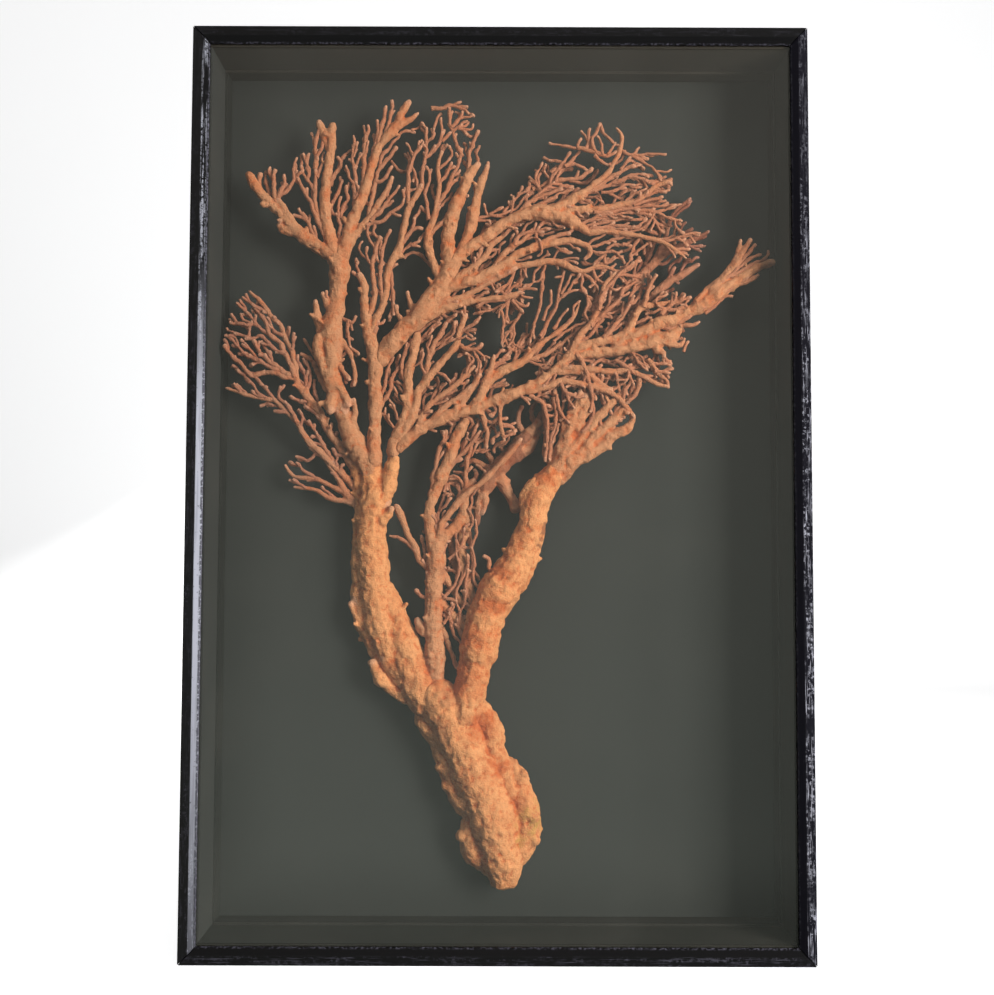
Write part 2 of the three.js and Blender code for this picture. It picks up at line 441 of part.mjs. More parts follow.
    limb(1, 1, [46, 538, 2.2], [50, 553, 1.5], [54, 565, 1.3], [56, 575, 1]),
    limb(1, 1, [67, 523, 2.4], [76, 516, 1.8], [88, 511, 1.5], [99, 508, 1.1]),
    limb(1, 1, [70, 534, 2], [80, 545, 1.6], [92, 552, 1.4], [102, 556, 1.1]),
  ],
  middle_fan: [
    limb(1, 3, [-47, 470, 5], [-38, 477, 4.5], [-29, 480, 4], [-18, 486, 3.8], [-7, 492, 3.6],
      [4, 497, 3.3], [15, 500, 3.3], [26, 502, 3.4], [38, 501, 3.4], [47, 498, 3], [55, 494, 2.8],
      [62, 493, 2.6], [71, 494, 2.2], [79, 495, 2], [86, 492, 1.8], [89, 486, 1.5], [93, 483, 1.2]),
    limb(2, 1, [-18, 486, 2.8], [-9, 495, 2.2], [0, 502, 2], [15, 512, 1.6], [25, 520, 1.2]),
    limb(2, 3, [-44, 468, 3.4], [-29, 470, 3], [-18, 476, 2.6], [-10, 480, 2.3], [0, 486, 2],
      [10, 491, 1.8], [19, 499, 1.6]),
    limb(3, 4, [-54, 458, 4], [-45, 462, 3.4], [-36, 464.5, 3], [-22, 469, 2.6], [-7, 471, 2.3],
      [8, 473, 2], [16, 476, 1.8], [24, 483, 1.5], [30, 492, 1.2]),
    limb(3, 3, [8, 473, 1.8], [19, 479, 1.4], [29, 479, 1.1]),
    limb(4, 5, [8, 473, 1.8], [6.7, 458, 1.5], [3.7, 446, 1.4], [3, 438, 1.2]),
    limb(4, 5, [14, 476, 1.6], [16, 460, 1.4], [8, 449, 1.4], [1, 434, 1.2]),
    limb(3, 3, [-20, 469, 2], [-12, 477, 1.6], [-6, 485, 1.5], [-3, 493, 1.4]),
    limb(4, 4, [12, 474, 1.7], [15, 468, 1.5], [18, 461, 1.1]),
    limb(4, 5, [60, 493, 2], [61, 480, 1.6], [66, 470, 1.5], [63, 463, 1.4], [66, 455, 1.1]),
    limb(4, 4, [70, 494, 1.8], [77, 485, 1.5], [85, 480, 1.3], [88, 474, 1]),
    limb(4, 5, [46, 498, 2], [44, 486, 1.6], [40, 470, 1.5], [38, 460, 1.1]),
    limb(5, 6, [54, 494, 1.9], [49, 480, 1.6], [44, 468, 1.5], [40, 452, 1.1]),
    limb(4, 6, [33, 500, 3], [31, 484, 3], [30, 468, 2.8], [25, 452, 2.6], [23, 438, 2.2]),
  ],
  inner_lower_limb: [
    limb(4, 3, [-78, 355, 4.6], [-77, 363, 4.4], [-73, 374, 4], [-68, 388, 3.6], [-67, 403, 3.3],
      [-67, 414, 3.2], [-64, 426, 3.2], [-62, 437, 3.2], [-60, 444, 2.8]),
    limb(3, 3, [-74, 366, 3.8], [-66, 378, 3.6], [-62, 390, 3.2], [-60, 400, 3], [-57, 406, 3],
      [-51, 414, 2.8], [-44, 422, 2.6], [-36, 431, 2.6], [-31, 438, 2.6], [-29, 448, 2.4],
      [-25, 459, 2.1]),
    limb(3, 3, [-57, 405, 2.4], [-54, 415, 1.9], [-50, 433, 1.8], [-44, 444, 1.7], [-39, 453, 1.5]),
    limb(3, 2, [-31, 438, 2], [-24, 434, 1.5], [-17, 433, 1.4], [-12, 438, 1.1]),
    limb(3, 2, [-19, 433, 1.4], [-15, 424, 1.3], [-17, 417, 1.1]),
    limb(4, 3, [-67, 405, 2], [-72, 417, 1.6], [-70, 429, 1.5], [-64, 441, 1.2]),
    limb(3, 1, [-48, 418, 1.6], [-41, 414, 1.4], [-36, 409, 1.2]),
    limb(2, 0, [-27, 447, 1.6], [-20, 452, 1.4], [-14, 458, 1.1]),
  ],
  lower_right_fan: [
    limb(3, 2, [-73, 360, 4], [-66, 368, 4.4], [-55, 376, 4.3], [-44, 381, 4.2], [-33, 385, 4],
      [-22, 388, 4], [-14, 390, 4], [-7, 394, 4], [4, 398, 4.2], [15, 402, 4.2], [24, 406, 3.8],
      [32, 411, 3.4], [41, 418, 3.2], [50, 427, 3.4], [60, 435, 3.2], [71, 439, 3], [82, 441, 3],
      [90, 443, 3], [97, 451, 3], [101, 460, 2.8], [108, 466, 2.4], [123, 468, 2], [134, 471, 1.8],
      [137, 475, 1.2]),
    limb(3, 2, [50, 427, 3.4], [67, 430, 3.4], [86, 433, 4], [97, 435, 5], [108, 438, 7],
      [118, 441, 8], [127, 442, 8], [131, 447, 5]),
    limb(2, 1, [86, 437, 2.5], [97, 443, 3], [108, 448, 4], [118, 453, 4.5], [130, 456, 4], [138, 459, 3.4]),
    limb(2, 2, [41, 417, 2.8], [55, 420, 2.3], [70, 421, 2.1], [85, 420, 2], [97, 417, 2],
      [110, 412, 1.7], [120, 407, 1.1]),
    limb(1, 2, [26, 406, 3], [41, 409, 2.3], [52, 411, 2.1], [63, 408, 2], [74, 403, 1.7], [83, 397, 1.2]),
    limb(1, 1, [58, 432, 2.2], [63, 417, 1.9], [68, 411, 1.8], [78, 407, 1.7], [85, 399, 1.3]),
    limb(2, 1, [88, 432, 2.6], [99, 430, 2.3], [110, 427, 2.2], [117, 419, 2], [122, 412, 1.6],
      [124, 405, 1]),
    limb(1, 1, [114, 423, 1.6], [121, 420, 1.3], [128, 418, 1]),
    limb(1, 1, [111, 427, 1.6], [118, 426, 1.3], [125, 424, 1]),
    limb(1, 0, [107, 465, 2.2], [109, 474, 1.6], [112, 482, 1.4], [116, 490, 1]),
    limb(2, 2, [52, 429, 2.6], [60, 444, 2.3], [67, 452, 2.1], [73, 463, 2], [78, 481, 1.8], [86, 491, 1.2]),
    limb(1, 1, [73, 462, 1.8], [77, 476, 1.5], [88, 489, 1.3], [100, 499, 1]),
    limb(2, 2, [67, 451, 1.9], [76, 459, 1.5], [84, 467, 1.4], [90, 473, 1]),
    limb(1, 1, [76, 440, 2], [84, 450, 1.6], [92, 460, 1.4], [97, 468, 1]),
    limb(2, 8, [-20, 388, 3.4], [-13, 399, 3.6], [-7, 410, 3.6], [4, 418, 3.4], [16, 424, 3],
      [23, 430, 2.6], [30, 437, 2.4], [38, 443, 2], [51, 453, 1.7], [57, 462, 1.4], [59, 470, 1]),
    limb(2, 1, [-13, 400, 3], [-9, 412, 2.4], [-5, 422, 2], [-4, 429, 1.4]),
    limb(3, 2, [-33, 386, 2.8], [-24, 398, 2.2], [-18, 408, 2], [-14, 415, 1.6]),
    limb(2, 2, [-50, 379, 2.6], [-40, 391, 2.2], [-29, 398, 2], [-21, 406, 1.7]),
    limb(2, 1, [-60, 374, 2.6], [-56, 384, 2.2], [-51, 392, 2.1], [-44, 398, 2], [-33, 406, 1.9],
      [-25, 414, 1.7], [-18, 421, 1.2]),
    limb(6, 8, [16, 424, 2.2], [29, 428, 1.9], [41, 434, 1.7], [52, 442, 1.5], [62, 452, 1.1]),
    limb(7, 9, [30, 437, 1.9], [34, 450, 1.7], [41, 464, 1.5], [47, 476, 1.1]),
    limb(2, 3, [2, 397, 2.6], [1, 388, 1.8], [1, 379, 1.6], [4, 366, 1.3]),
    limb(3, 4, [-14, 389, 2.4], [-11, 380, 1.8], [-9, 370, 1.6], [-9, 360, 1.2]),
    limb(0, 0, [118, 441, 3], [127, 438, 2.6], [134, 437, 1.8], [137, 442, 1.1]),
    limb(1, 0, [116, 434, 3], [121, 431, 2], [122, 428, 1.4]),
  ],
  far_right_finger: [
    limb(1, -1, [133, 457, 3.6], [146, 466, 5.4], [156, 473, 6.4], [167, 479, 6], [178, 487, 5.4],
      [190, 494, 4.4], [197, 498, 3.6], [202, 500, 2.6]),
    limb(0, 0, [144, 466, 2.8], [152, 477, 2.2], [158, 484, 2.1], [168, 492, 1.9], [174, 502, 1.6],
      [179, 514, 1.1]),
    limb(0, 0, [170, 483, 2.4], [176, 499, 1.7], [182, 508, 1.5], [186, 517, 1.1]),
    limb(0, 0, [181, 489, 2], [187, 503, 1.5], [190, 513, 1.1]),
    limb(-1, -1, [190, 494, 1.9], [194, 505, 1.3], [199, 510, 1]),
    limb(0, 0, [181, 487, 2], [187, 488, 1.6], [193, 490, 1.1]),
    limb(0, 0, [142, 463, 2.4], [136, 465, 1.8], [129, 463, 1.5], [121, 464, 1.1]),
  ],
  right_plate: [
    limb(7, 3, [47, 351, 7], [55, 362, 7], [61, 371, 6.5], [66, 382, 6], [72, 391, 5], [79, 400, 3.6],
      [85, 406, 2.4], [93, 412, 1.6]),
    limb(7, 3, [50, 350, 8], [62, 358, 7.5], [72, 364, 7], [81, 371, 6.5], [88, 377, 6], [94, 381, 4.5],
      [98, 384, 2.6]),
    limb(7, 4, [43, 349, 5], [45, 357, 4.6], [47, 368, 4], [48, 378, 3.4], [44, 387, 2.5], [42, 396, 2.1],
      [41, 403, 1.6]),
    limb(3, 2, [96, 384, 2.8], [95, 389, 2.4], [91, 393, 2.4], [87, 397, 2]),
    limb(5, 3, [60, 374, 5], [72, 379, 4.5], [82, 384, 4], [90, 390, 2.8]),
    limb(2, 2, [91, 392, 2.2], [96, 397, 1.8], [101, 401, 1.8], [103, 409, 1.5], [104, 413, 1.2]),
    limb(2, 2, [90, 393, 2], [90.5, 401, 1.7], [96, 408, 1.5]),
    limb(5, 3, [50, 368, 5], [55, 384, 4], [58, 395, 3], [60, 403, 1.8]),
    limb(8, 8, [38, 350, 3.4], [34, 356, 2.8], [35, 365, 2.6], [35.5, 375, 2.5], [34, 386, 2.2],
      [33, 395, 1.8]),
    limb(8, 7, [39, 353, 2.4], [39, 364, 1.9], [41.5, 373, 1.8], [44, 379, 1.4]),
  ],
  rear_limb: [
    limb(15, 14, [13, 316, 4.4], [8, 325, 4], [3, 334, 4.2], [-2, 341, 6], [-6, 338, 6.2],
      [-10, 331, 5.6], [-13, 323, 4.4], [-15, 314, 3], [-16, 304, 1.6]),
    limb(14, 17, [-3, 342, 6], [4, 350, 6.4], [12, 360, 5.5], [20, 368, 5], [27, 376, 4.4], [33, 385, 3.6],
      [38, 394, 2.4]),
    limb(15, 18, [6, 351, 4], [18, 358, 4], [25, 365, 3.6], [30, 374, 3], [32, 382, 2]),
    limb(12, 12, [-10, 324, 3], [-10, 318, 2.4], [-12, 312, 1.6]),
    limb(13, 14, [-8, 345, 3], [-19, 351, 2], [-28, 347, 1.4]),
    limb(13, 12, [-2, 345, 2.4], [-8, 356, 1.7], [-10, 363, 1.5], [-8, 374, 1.1]),
    limb(16, 17, [20, 368, 2.4], [14, 380, 1.8], [17, 392, 1.2]),
    limb(17, 17, [27, 376, 2.4], [24, 386, 1.8], [29, 397, 1.2]),
  ],
  rear_right_fan: [
    limb(9, 15, [58, 444, 2.4], [68, 452, 3.2], [79, 464, 3.6], [88, 474, 3.6], [97, 484, 3.6],
      [107, 491, 3.4], [116, 500, 3], [127, 508, 2.6], [142, 515, 2.1], [155, 522, 1.3]),
    limb(14, 15, [116, 500, 2.6], [123, 518, 1.7], [129, 535, 1.5], [142, 547, 1.1]),
    limb(13, 16, [88, 463, 3], [99, 464, 3], [111, 471, 3], [123, 482, 3.2], [134, 489, 2.8], [147, 497, 2]),
    limb(12, 13, [80, 462, 3], [88, 463, 3], [94, 464, 2.8]),
    limb(15, 16, [122, 481, 2.4], [126, 488, 2], [130, 495, 1.4]),
    limb(15, 16, [107, 491, 2.4], [112, 506, 1.7], [119, 521, 1.5], [121, 534, 1.1]),
    limb(13, 14, [68, 452, 2.4], [70, 466, 1.8], [72, 480, 1.5], [76, 491, 1.1]),
  ],
};

// A limb's station in the case; limbs that lie deeper spread away from the fan's heart.
function station(x, z, depth) {
  const scale = 1 + depth / SPREAD;
  return new THREE.Vector3(
    HEART.x + (x - HEART.x) * scale,
    depth,
    HEART.z + (z - HEART.z) * scale,
  );
}

function limbPoints({ rootDepth, tipDepth, run }) {
  return run.map(([x, z], index) => {
    const along = index / (run.length - 1);
    return station(x, z, THREE.MathUtils.lerp(rootDepth, tipDepth, along));
  });
}

// Sides of a limb's section: stout limbs are rounder than twigs.
function limbSides(run) {
  const stoutest = Math.max(...run.map(([, , radius]) => radius));
  if (stoutest > 9) return 6;
  return stoutest > 3 ? 4 : 3;
}

// Which stations of a run carry a section ring: the two ends, and others a step or more apart.
function ringStations(run) {
  const kept = [0];
  for (let index = 1; index + 1 < run.length; index += 1) {
    const [x, z] = run[index];
    const [lastX, lastZ] = run[kept.at(-1)];
    if (Math.hypot(x - lastX, z - lastZ) >= STEP_LENGTH) kept.push(index);
  }
  kept.push(run.length - 1);
  return kept;
}

// A closed tapering tube through a limb's stations, `extra` wider and longer all round.
function limbSolid(branch, extra = 0) {
  const stations = ringStations(branch.run);
  const places = limbPoints(branch);
  const points = stations.map((index) => places[index]);
  const sides = limbSides(branch.run);
  const depthways = new THREE.Vector3(0, 1, 0);
  const rings = points.map((point, index) => {
    const before = points[Math.max(index - 1, 0)];
    const after = points[Math.min(index + 1, points.length - 1)];
    const along = new THREE.Vector3().subVectors(after, before).normalize();
    const across = new THREE.Vector3().crossVectors(depthways, along).normalize();
    const upright = new THREE.Vector3().crossVectors(along, across);
    const end = index === 0 ? -1 : Number(index === points.length - 1);
    const centre = point.clone().addScaledVector(along, end * extra);
    const reach = branch.run[stations[index]][2] + extra / Math.cos(Math.PI / sides);
    return Array.from({ length: sides }, (_, side) => {
      const angle = (2 * Math.PI * (side + 0.5)) / sides;
      return centre.clone()
        .addScaledVector(across, reach * Math.cos(angle))
        .addScaledVector(upright, reach * Math.sin(angle));
    });
  });
  return toSolid(loftRings(rings));
}

function joined(solids) {
  return solids.reduce((whole, next) => whole.add(next));
}

function largestPiece(solid) {
  return solid.decompose().reduce((best, next) => (next.volume() > best.volume() ? next : best));
}

// The room inside the case, kept clear of the glass, the boards and the fillets.
function caseRoom() {
  const clear = FILLET.inset + GAP;
  const behindGlass = LIP.drop + LIP.edge + 2 * GAP + GLASS_THICKNESS;
  const low = new THREE.Vector3(clear - CASE.width / 2, FRONT + behindGlass, clear);
  const high = new THREE.Vector3(CASE.width / 2 - clear, FRONT + FILLET.depth, CASE.height - clear);
  return toSolid(boxBetween(low, high));
}

// Each part of the fan is its own limbs, cut clear of the parts that it forks from.
function addFan(group) {
  const room = caseRoom();
  const earlier = [];
  for (const [name, limbs] of Object.entries(FAN)) {
    let solid = joined(limbs.map((branch) => limbSolid(branch))).intersect(room);
    for (const other of earlier) {
      solid = solid.subtract(other);
    }
    const mesh = new THREE.Mesh(toGeometry(largestPiece(solid)), coralCrust());
    mesh.name = name;
    group.add(mesh);
    earlier.push(joined(limbs.map((branch) => limbSolid(branch, CORAL_CLEARANCE))));
  }
}

const seaFan = new THREE.Group();
seaFan.name = 'sea_fan';
addCase(seaFan);
addFan(seaFan);

export default seaFan;
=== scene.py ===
"""Looks of a sea fan fixed in a glazed shadow box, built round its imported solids.

Lengths in the limb plan are millimetres in the case's own frame: X to the right, Y from the
glass towards the back board, Z up from the surface that the case stands on. Every mesh that
is made from it is in metres in the same frame.
"""

import functools
import logging
import math
from collections.abc import Sequence
from dataclasses import dataclass, field
from enum import Enum
from typing import Any

import bmesh
import bpy
import numpy as np
from bpy.types import Material, Mesh, Node, NodeSocket, NodeTree, Object
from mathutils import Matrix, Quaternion, Vector
from mathutils.kdtree import KDTree


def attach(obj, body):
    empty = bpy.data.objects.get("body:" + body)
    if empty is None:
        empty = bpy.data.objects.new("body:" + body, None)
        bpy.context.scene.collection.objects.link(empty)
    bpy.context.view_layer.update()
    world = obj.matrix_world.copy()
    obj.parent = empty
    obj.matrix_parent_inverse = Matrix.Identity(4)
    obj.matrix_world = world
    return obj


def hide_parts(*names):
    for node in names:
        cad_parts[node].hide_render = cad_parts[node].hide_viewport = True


LOG = logging.getLogger("sea_fan")
MM = 0.001
BODY = "root"
Triple = tuple[float, float, float]

# The case, in metres.
HALF_WIDTH = 0.220
MID_HEIGHT = 0.330
LIP_WIDTH = 0.0117  # from a rail's outer side to the edge of its lip
FACE_WIDTH = 0.0065  # the flat face outside the bevel
BEVEL_FOOT = -0.0308  # how far back the bevel ends, on the Y axis

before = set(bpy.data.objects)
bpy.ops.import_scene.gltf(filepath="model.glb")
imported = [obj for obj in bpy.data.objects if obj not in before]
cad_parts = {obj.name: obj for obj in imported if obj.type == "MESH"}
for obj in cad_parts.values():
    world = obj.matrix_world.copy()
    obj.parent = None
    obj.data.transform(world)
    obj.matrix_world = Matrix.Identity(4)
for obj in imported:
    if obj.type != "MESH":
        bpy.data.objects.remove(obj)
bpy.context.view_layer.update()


# ---- node trees ----


class Signal:
    """A number that varies over a surface or along a twig; its operators add Math nodes."""

    def __init__(self, bench: "NodeBench", socket: NodeSocket) -> None:
        """Wraps one output socket of a bench's tree."""
        self.bench = bench
        self.socket = socket

    def _math(self, operation: str, *values: Any, clamp: bool = False) -> "Signal":
        """The result of a Math node on signals or numbers."""
        settings = {"operation": operation, "use_clamp": clamp}
        return self.bench.signal("ShaderNodeMath", 0, settings, dict(enumerate(values)))

    def __add__(self, other: Any) -> "Signal":
        """Sum."""
        return self._math("ADD", self, other)

    __radd__ = __add__

    def __sub__(self, other: Any) -> "Signal":
        """Difference."""
        return self._math("SUBTRACT", self, other)

    def __rsub__(self, other: Any) -> "Signal":
        """Difference from a number."""
        return self._math("SUBTRACT", other, self)

    def __mul__(self, other: Any) -> "Signal":
        """Product."""
        return self._math("MULTIPLY", self, other)

    __rmul__ = __mul__

    def __truediv__(self, other: Any) -> "Signal":
        """Quotient."""
        return self._math("DIVIDE", self, other)

    def __rtruediv__(self, other: Any) -> "Signal":
        """Quotient of a number."""
        return self._math("DIVIDE", other, self)

    def __pow__(self, other: Any) -> "Signal":
        """Power."""
        return self._math("POWER", self, other)

    def __abs__(self) -> "Signal":
        """Size without its sign."""
        return self._math("ABSOLUTE", self)

    def clamped(self) -> "Signal":
        """The same value, kept between 0 and 1."""
        return self._math("ADD", self, 0.0, clamp=True)

    def least(self, other: Any) -> "Signal":
        """The smaller of two values."""
        return self._math("MINIMUM", self, other)

    def most(self, other: Any) -> "Signal":
        """The larger of two values."""
        return self._math("MAXIMUM", self, other)

    def between(self, low: float, high: float) -> "Signal":
        """A smooth step.

        Args:
            low: value where the step is 0.
            high: value where the step is 1; below `low` for a falling step.

        Returns:
            The step, from 0 to 1.
        """
        settings = {"interpolation_type": "SMOOTHSTEP"}
        inputs = {"Value": self, "From Min": low, "From Max": high, "To Min": 0.0, "To Max": 1.0}
        return self.bench.signal("ShaderNodeMapRange", "Result", settings, inputs)


class NodeBench:
    """Adds nodes to one tree, with their settings and what feeds their sockets."""

    def __init__(self, tree: NodeTree) -> None:
        """Keeps the tree that the nodes go in."""
        self.tree = tree

    def feed(self, socket: NodeSocket, value: Any) -> None:
        """Fills an input.

        Args:
            socket: the input socket.
            value: a signal or an output socket to link, or a plain value to set.
        """
        source = value.socket if isinstance(value, Signal) else value
        if isinstance(source, NodeSocket):
            self.tree.links.new(source, socket)
        else:
            socket.default_value = source

    def add(self, kind: str, settings: dict | None = None, inputs: dict | None = None) -> Node:
        """Adds a node of any type.

        Args:
            kind: the node's type.
            settings: its properties, set first.
            inputs: what goes in each socket, by name or by number.

        Returns:
            The new node.
        """
        node = self.tree.nodes.new(kind)
        for name, value in (settings or {}).items():
            setattr(node, name, value)
        for key, value in (inputs or {}).items():
            self.feed(node.inputs[key], value)
        return node

    def signal(self, kind: str, output: Any, settings: dict | None = None, inputs: dict | None = None) -> Signal:
        """Adds a node and wraps one of its outputs, given by name or number."""
        return Signal(self, self.add(kind, settings, inputs).outputs[output])

    def vector(self, operation: str, inputs: dict) -> NodeSocket:
        """A Vector Math node's vector result."""
        return self.add("ShaderNodeVectorMath", {"operation": operation}, inputs).outputs["Vector"]

    def distance(self, place: Any, centre: Sequence[float]) -> Signal:
        """Distance from a fixed point."""
        return self.signal("ShaderNodeVectorMath", "Value", {"operation": "DISTANCE"}, {0: place, 1: centre})

    def noise(self, place: Any, size: Any, detail: float = 2.0, rough: float = 0.5) -> Signal:
        """Cloudy noise from 0 to 1, in blotches of a size in metres, with finer layers added."""
        inputs = {"Vector": place, "Scale": 1.0 / size, "Detail": detail, "Roughness": rough}
        return self.signal("ShaderNodeTexNoise", "Fac", None, inputs)

    def mixed(self, amount: Any, first: Any, second: Any, blend: str = "MIX") -> NodeSocket:
        """Mixes two colours.

        Args:
            amount: how much of the second colour, from 0 to 1.
            first: the colour under it, as red, green and blue or a socket.
            second: the colour over it.
            blend: the Mix node's blend mode.

        Returns:
            The mixed colour.
        """
        colours = [(*c, 1.0) if isinstance(c, tuple) else c for c in (first, second)]
        node = self.add("ShaderNodeMix", {"data_type": "RGBA", "blend_type": blend})
        for socket, value in zip((node.inputs[0], node.inputs[6], node.inputs[7]), (amount, *colours)):
            self.feed(socket, value)
        return node.outputs[2]


@dataclass
class SurfaceBench(NodeBench):
    """The bench for one material, with the parts that every finish uses."""

    name: str

    def __post_init__(self) -> None:
        """Makes the material with an empty tree and its output."""
        self.material = bpy.data.materials.new(self.name)
        self.material.use_nodes = True
        super().__init__(self.material.node_tree)
        self.tree.nodes.clear()
        self.output = self.add("ShaderNodeOutputMaterial")
        self.place = self.add("ShaderNodeTexCoord").outputs["Object"]
        axes = self.add("ShaderNodeSeparateXYZ", None, {0: self.place})
        self.x, self.y, self.z = (Signal(self, axes.outputs[i]) for i in range(3))

    def stretched(self, factors: Sequence[float]) -> NodeSocket:
        """Object coordinates multiplied along each axis, for streaks."""
        return self.vector("MULTIPLY", {0: self.place, 1: tuple(factors)})

    def attribute(self, name: str) -> Signal:
        """A number stored on the mesh."""
        return self.signal("ShaderNodeAttribute", "Fac", {"attribute_name": name})

    def bump(self, height: Signal, depth: float, strength: float = 1.0) -> NodeSocket:
        """A normal bent by relief from 0 to 1 whose full range is so many metres deep."""
        inputs = {"Height": height, "Distance": depth, "Strength": strength}
        return self.add("ShaderNodeBump", None, inputs).outputs["Normal"]

    def coat(self, colour: Any, rough: Any, normal: Any = None, **levels: float) -> Material:
        """Finishes the material with one Principled surface.

        Args:
            colour: base colour, as red, green and blue or a socket.
            rough: roughness.
            normal: bent normal, if any.
            **levels: further constant inputs, with _ for a space in their names.

        Returns:
            The material.
        """
        base = (*colour, 1.0) if isinstance(colour, tuple) else colour
        inputs = {"Base Color": base, "Roughness": rough}
        inputs |= {label.replace("_", " "): value for label, value in levels.items()}
        if normal is not None:
            inputs["Normal"] = normal
        shader = self.add("ShaderNodeBsdfPrincipled", None, inputs)
        self.feed(self.output.inputs["Surface"], shader.outputs[0])
        return self.material


# ---- finishes ----


class Streak(Enum):
    """Which way brush marks run on a board; each number squeezes that axis of the pattern."""

    ACROSS = (0.04, 1.0, 1.0)
    UPRIGHT = (1.0, 1.0, 0.04)


@dataclass(frozen=True)
class CoralFinish:
    """Dry, chalky coral crust, pinker on fine twigs and paler at tips, with painted shade: deep orange in hollows and
    round forks, darker where limbs lie behind others.
    """

    name: str
    crust: Triple = (0.57, 0.210, 0.070)
    sunlit: Triple = (0.68, 0.305, 0.124)
    # Painted shade: deep is the orange mixed into hollows and the glow zones round the forks.
    deep: Triple = (0.47, 0.100, 0.024)
    twig: Triple = (0.37, 0.140, 0.074)
    tip: Triple = (0.60, 0.31, 0.185)
    stain: Triple = (0.46, 0.235, 0.055)
    shade: Triple = (0.17, 0.050, 0.027)
    # Painted shade: glow zones round the forks take the deep orange; stains are real stains.
    glow: tuple[tuple[float, float, float, float], ...] = ()
    stains: tuple[tuple[float, float, float, float], ...] = ()

    def _zone(self, bench: SurfaceBench, zones: Sequence[tuple]) -> Signal:
        """How deep a point lies in any of some round zones.

        Args:
            bench: the material's bench.
            zones: centre and radius of each, in millimetres.

        Returns:
            The depth, from 0 outside to 1 inside.
        """
        ragged = (bench.noise(bench.place, 0.008, 3.0, 0.6) - 0.5) * 0.030
        steps = [(bench.distance(bench.place, (x * MM, y * MM, z * MM)) + ragged).between(r * MM, r * MM * 0.1)
                 for x, y, z, r in zones]
        return functools.reduce(Signal.most, steps)

    def material(self) -> Material:
        """Builds the material.

        Returns:
            The material.
        """
        bench = SurfaceBench(self.name)
        fine = bench.attribute("fine")
        hollow = bench.attribute("hollow")
        reach = bench.attribute("reach")
        under = bench.attribute("under")
        broad = bench.noise(bench.place, 0.022, 3.0, 0.55)
        patch = bench.noise(bench.place, 0.006, 3.0, 0.6)
        grain = bench.noise(bench.place, 0.0011, 2.0, 0.6)
        cells = bench.signal("ShaderNodeTexVoronoi", "Distance", None, {"Vector": bench.place, "Scale": 1.0 / 0.0011})
        colour = bench.mixed((broad * 0.75 + patch * 0.5 - 0.1).clamped(), self.crust, self.sunlit)
        colour = bench.mixed((fine * (0.62 + patch * 0.5)).clamped(), colour, self.twig)
        # Painted shade: hollows and glow zones are mixed towards the deep orange, with random darker patches of the
        # crust.
        glow = hollow * 0.85 + broad.between(0.50, 0.36) * 0.35 + patch.between(0.47, 0.34) * 0.40
        if self.glow:
            glow = glow + self._zone(bench, self.glow) * (0.55 + patch * 0.7)
        colour = bench.mixed((glow * (1.0 - fine * 0.6)).clamped() * 0.9, colour, self.deep)
        if self.stains:
            stain = self._zone(bench, self.stains) * patch.between(0.34, 0.6)
            colour = bench.mixed(stain, colour, self.stain)
        colour = bench.mixed(reach.between(0.55, 1.0) * (1.0 - under) * 0.55, colour, self.tip)
        # Painted shade: limbs that lie behind others are mixed towards the shade colour.
        colour = bench.mixed(under * 0.72, colour, self.shade)
        speckle = (grain.between(0.30, 0.70) * 0.34 + patch * 0.30 + cells.between(0.0, 0.6) * 0.14 + 0.56).clamped()
        shade = bench.add("ShaderNodeCombineColor", None, {0: speckle, 1: speckle, 2: speckle}).outputs[0]
        colour = bench.mixed(1.0, colour, shade, "MULTIPLY")
        relief = grain * 0.55 + patch * 0.5 + (1.0 - cells) * 0.35
        rough = (0.84 + grain * 0.16).clamped()
        return bench.coat(colour, rough, bench.bump(relief, 0.0011, 1.0), Specular_IOR_Level=0.14)


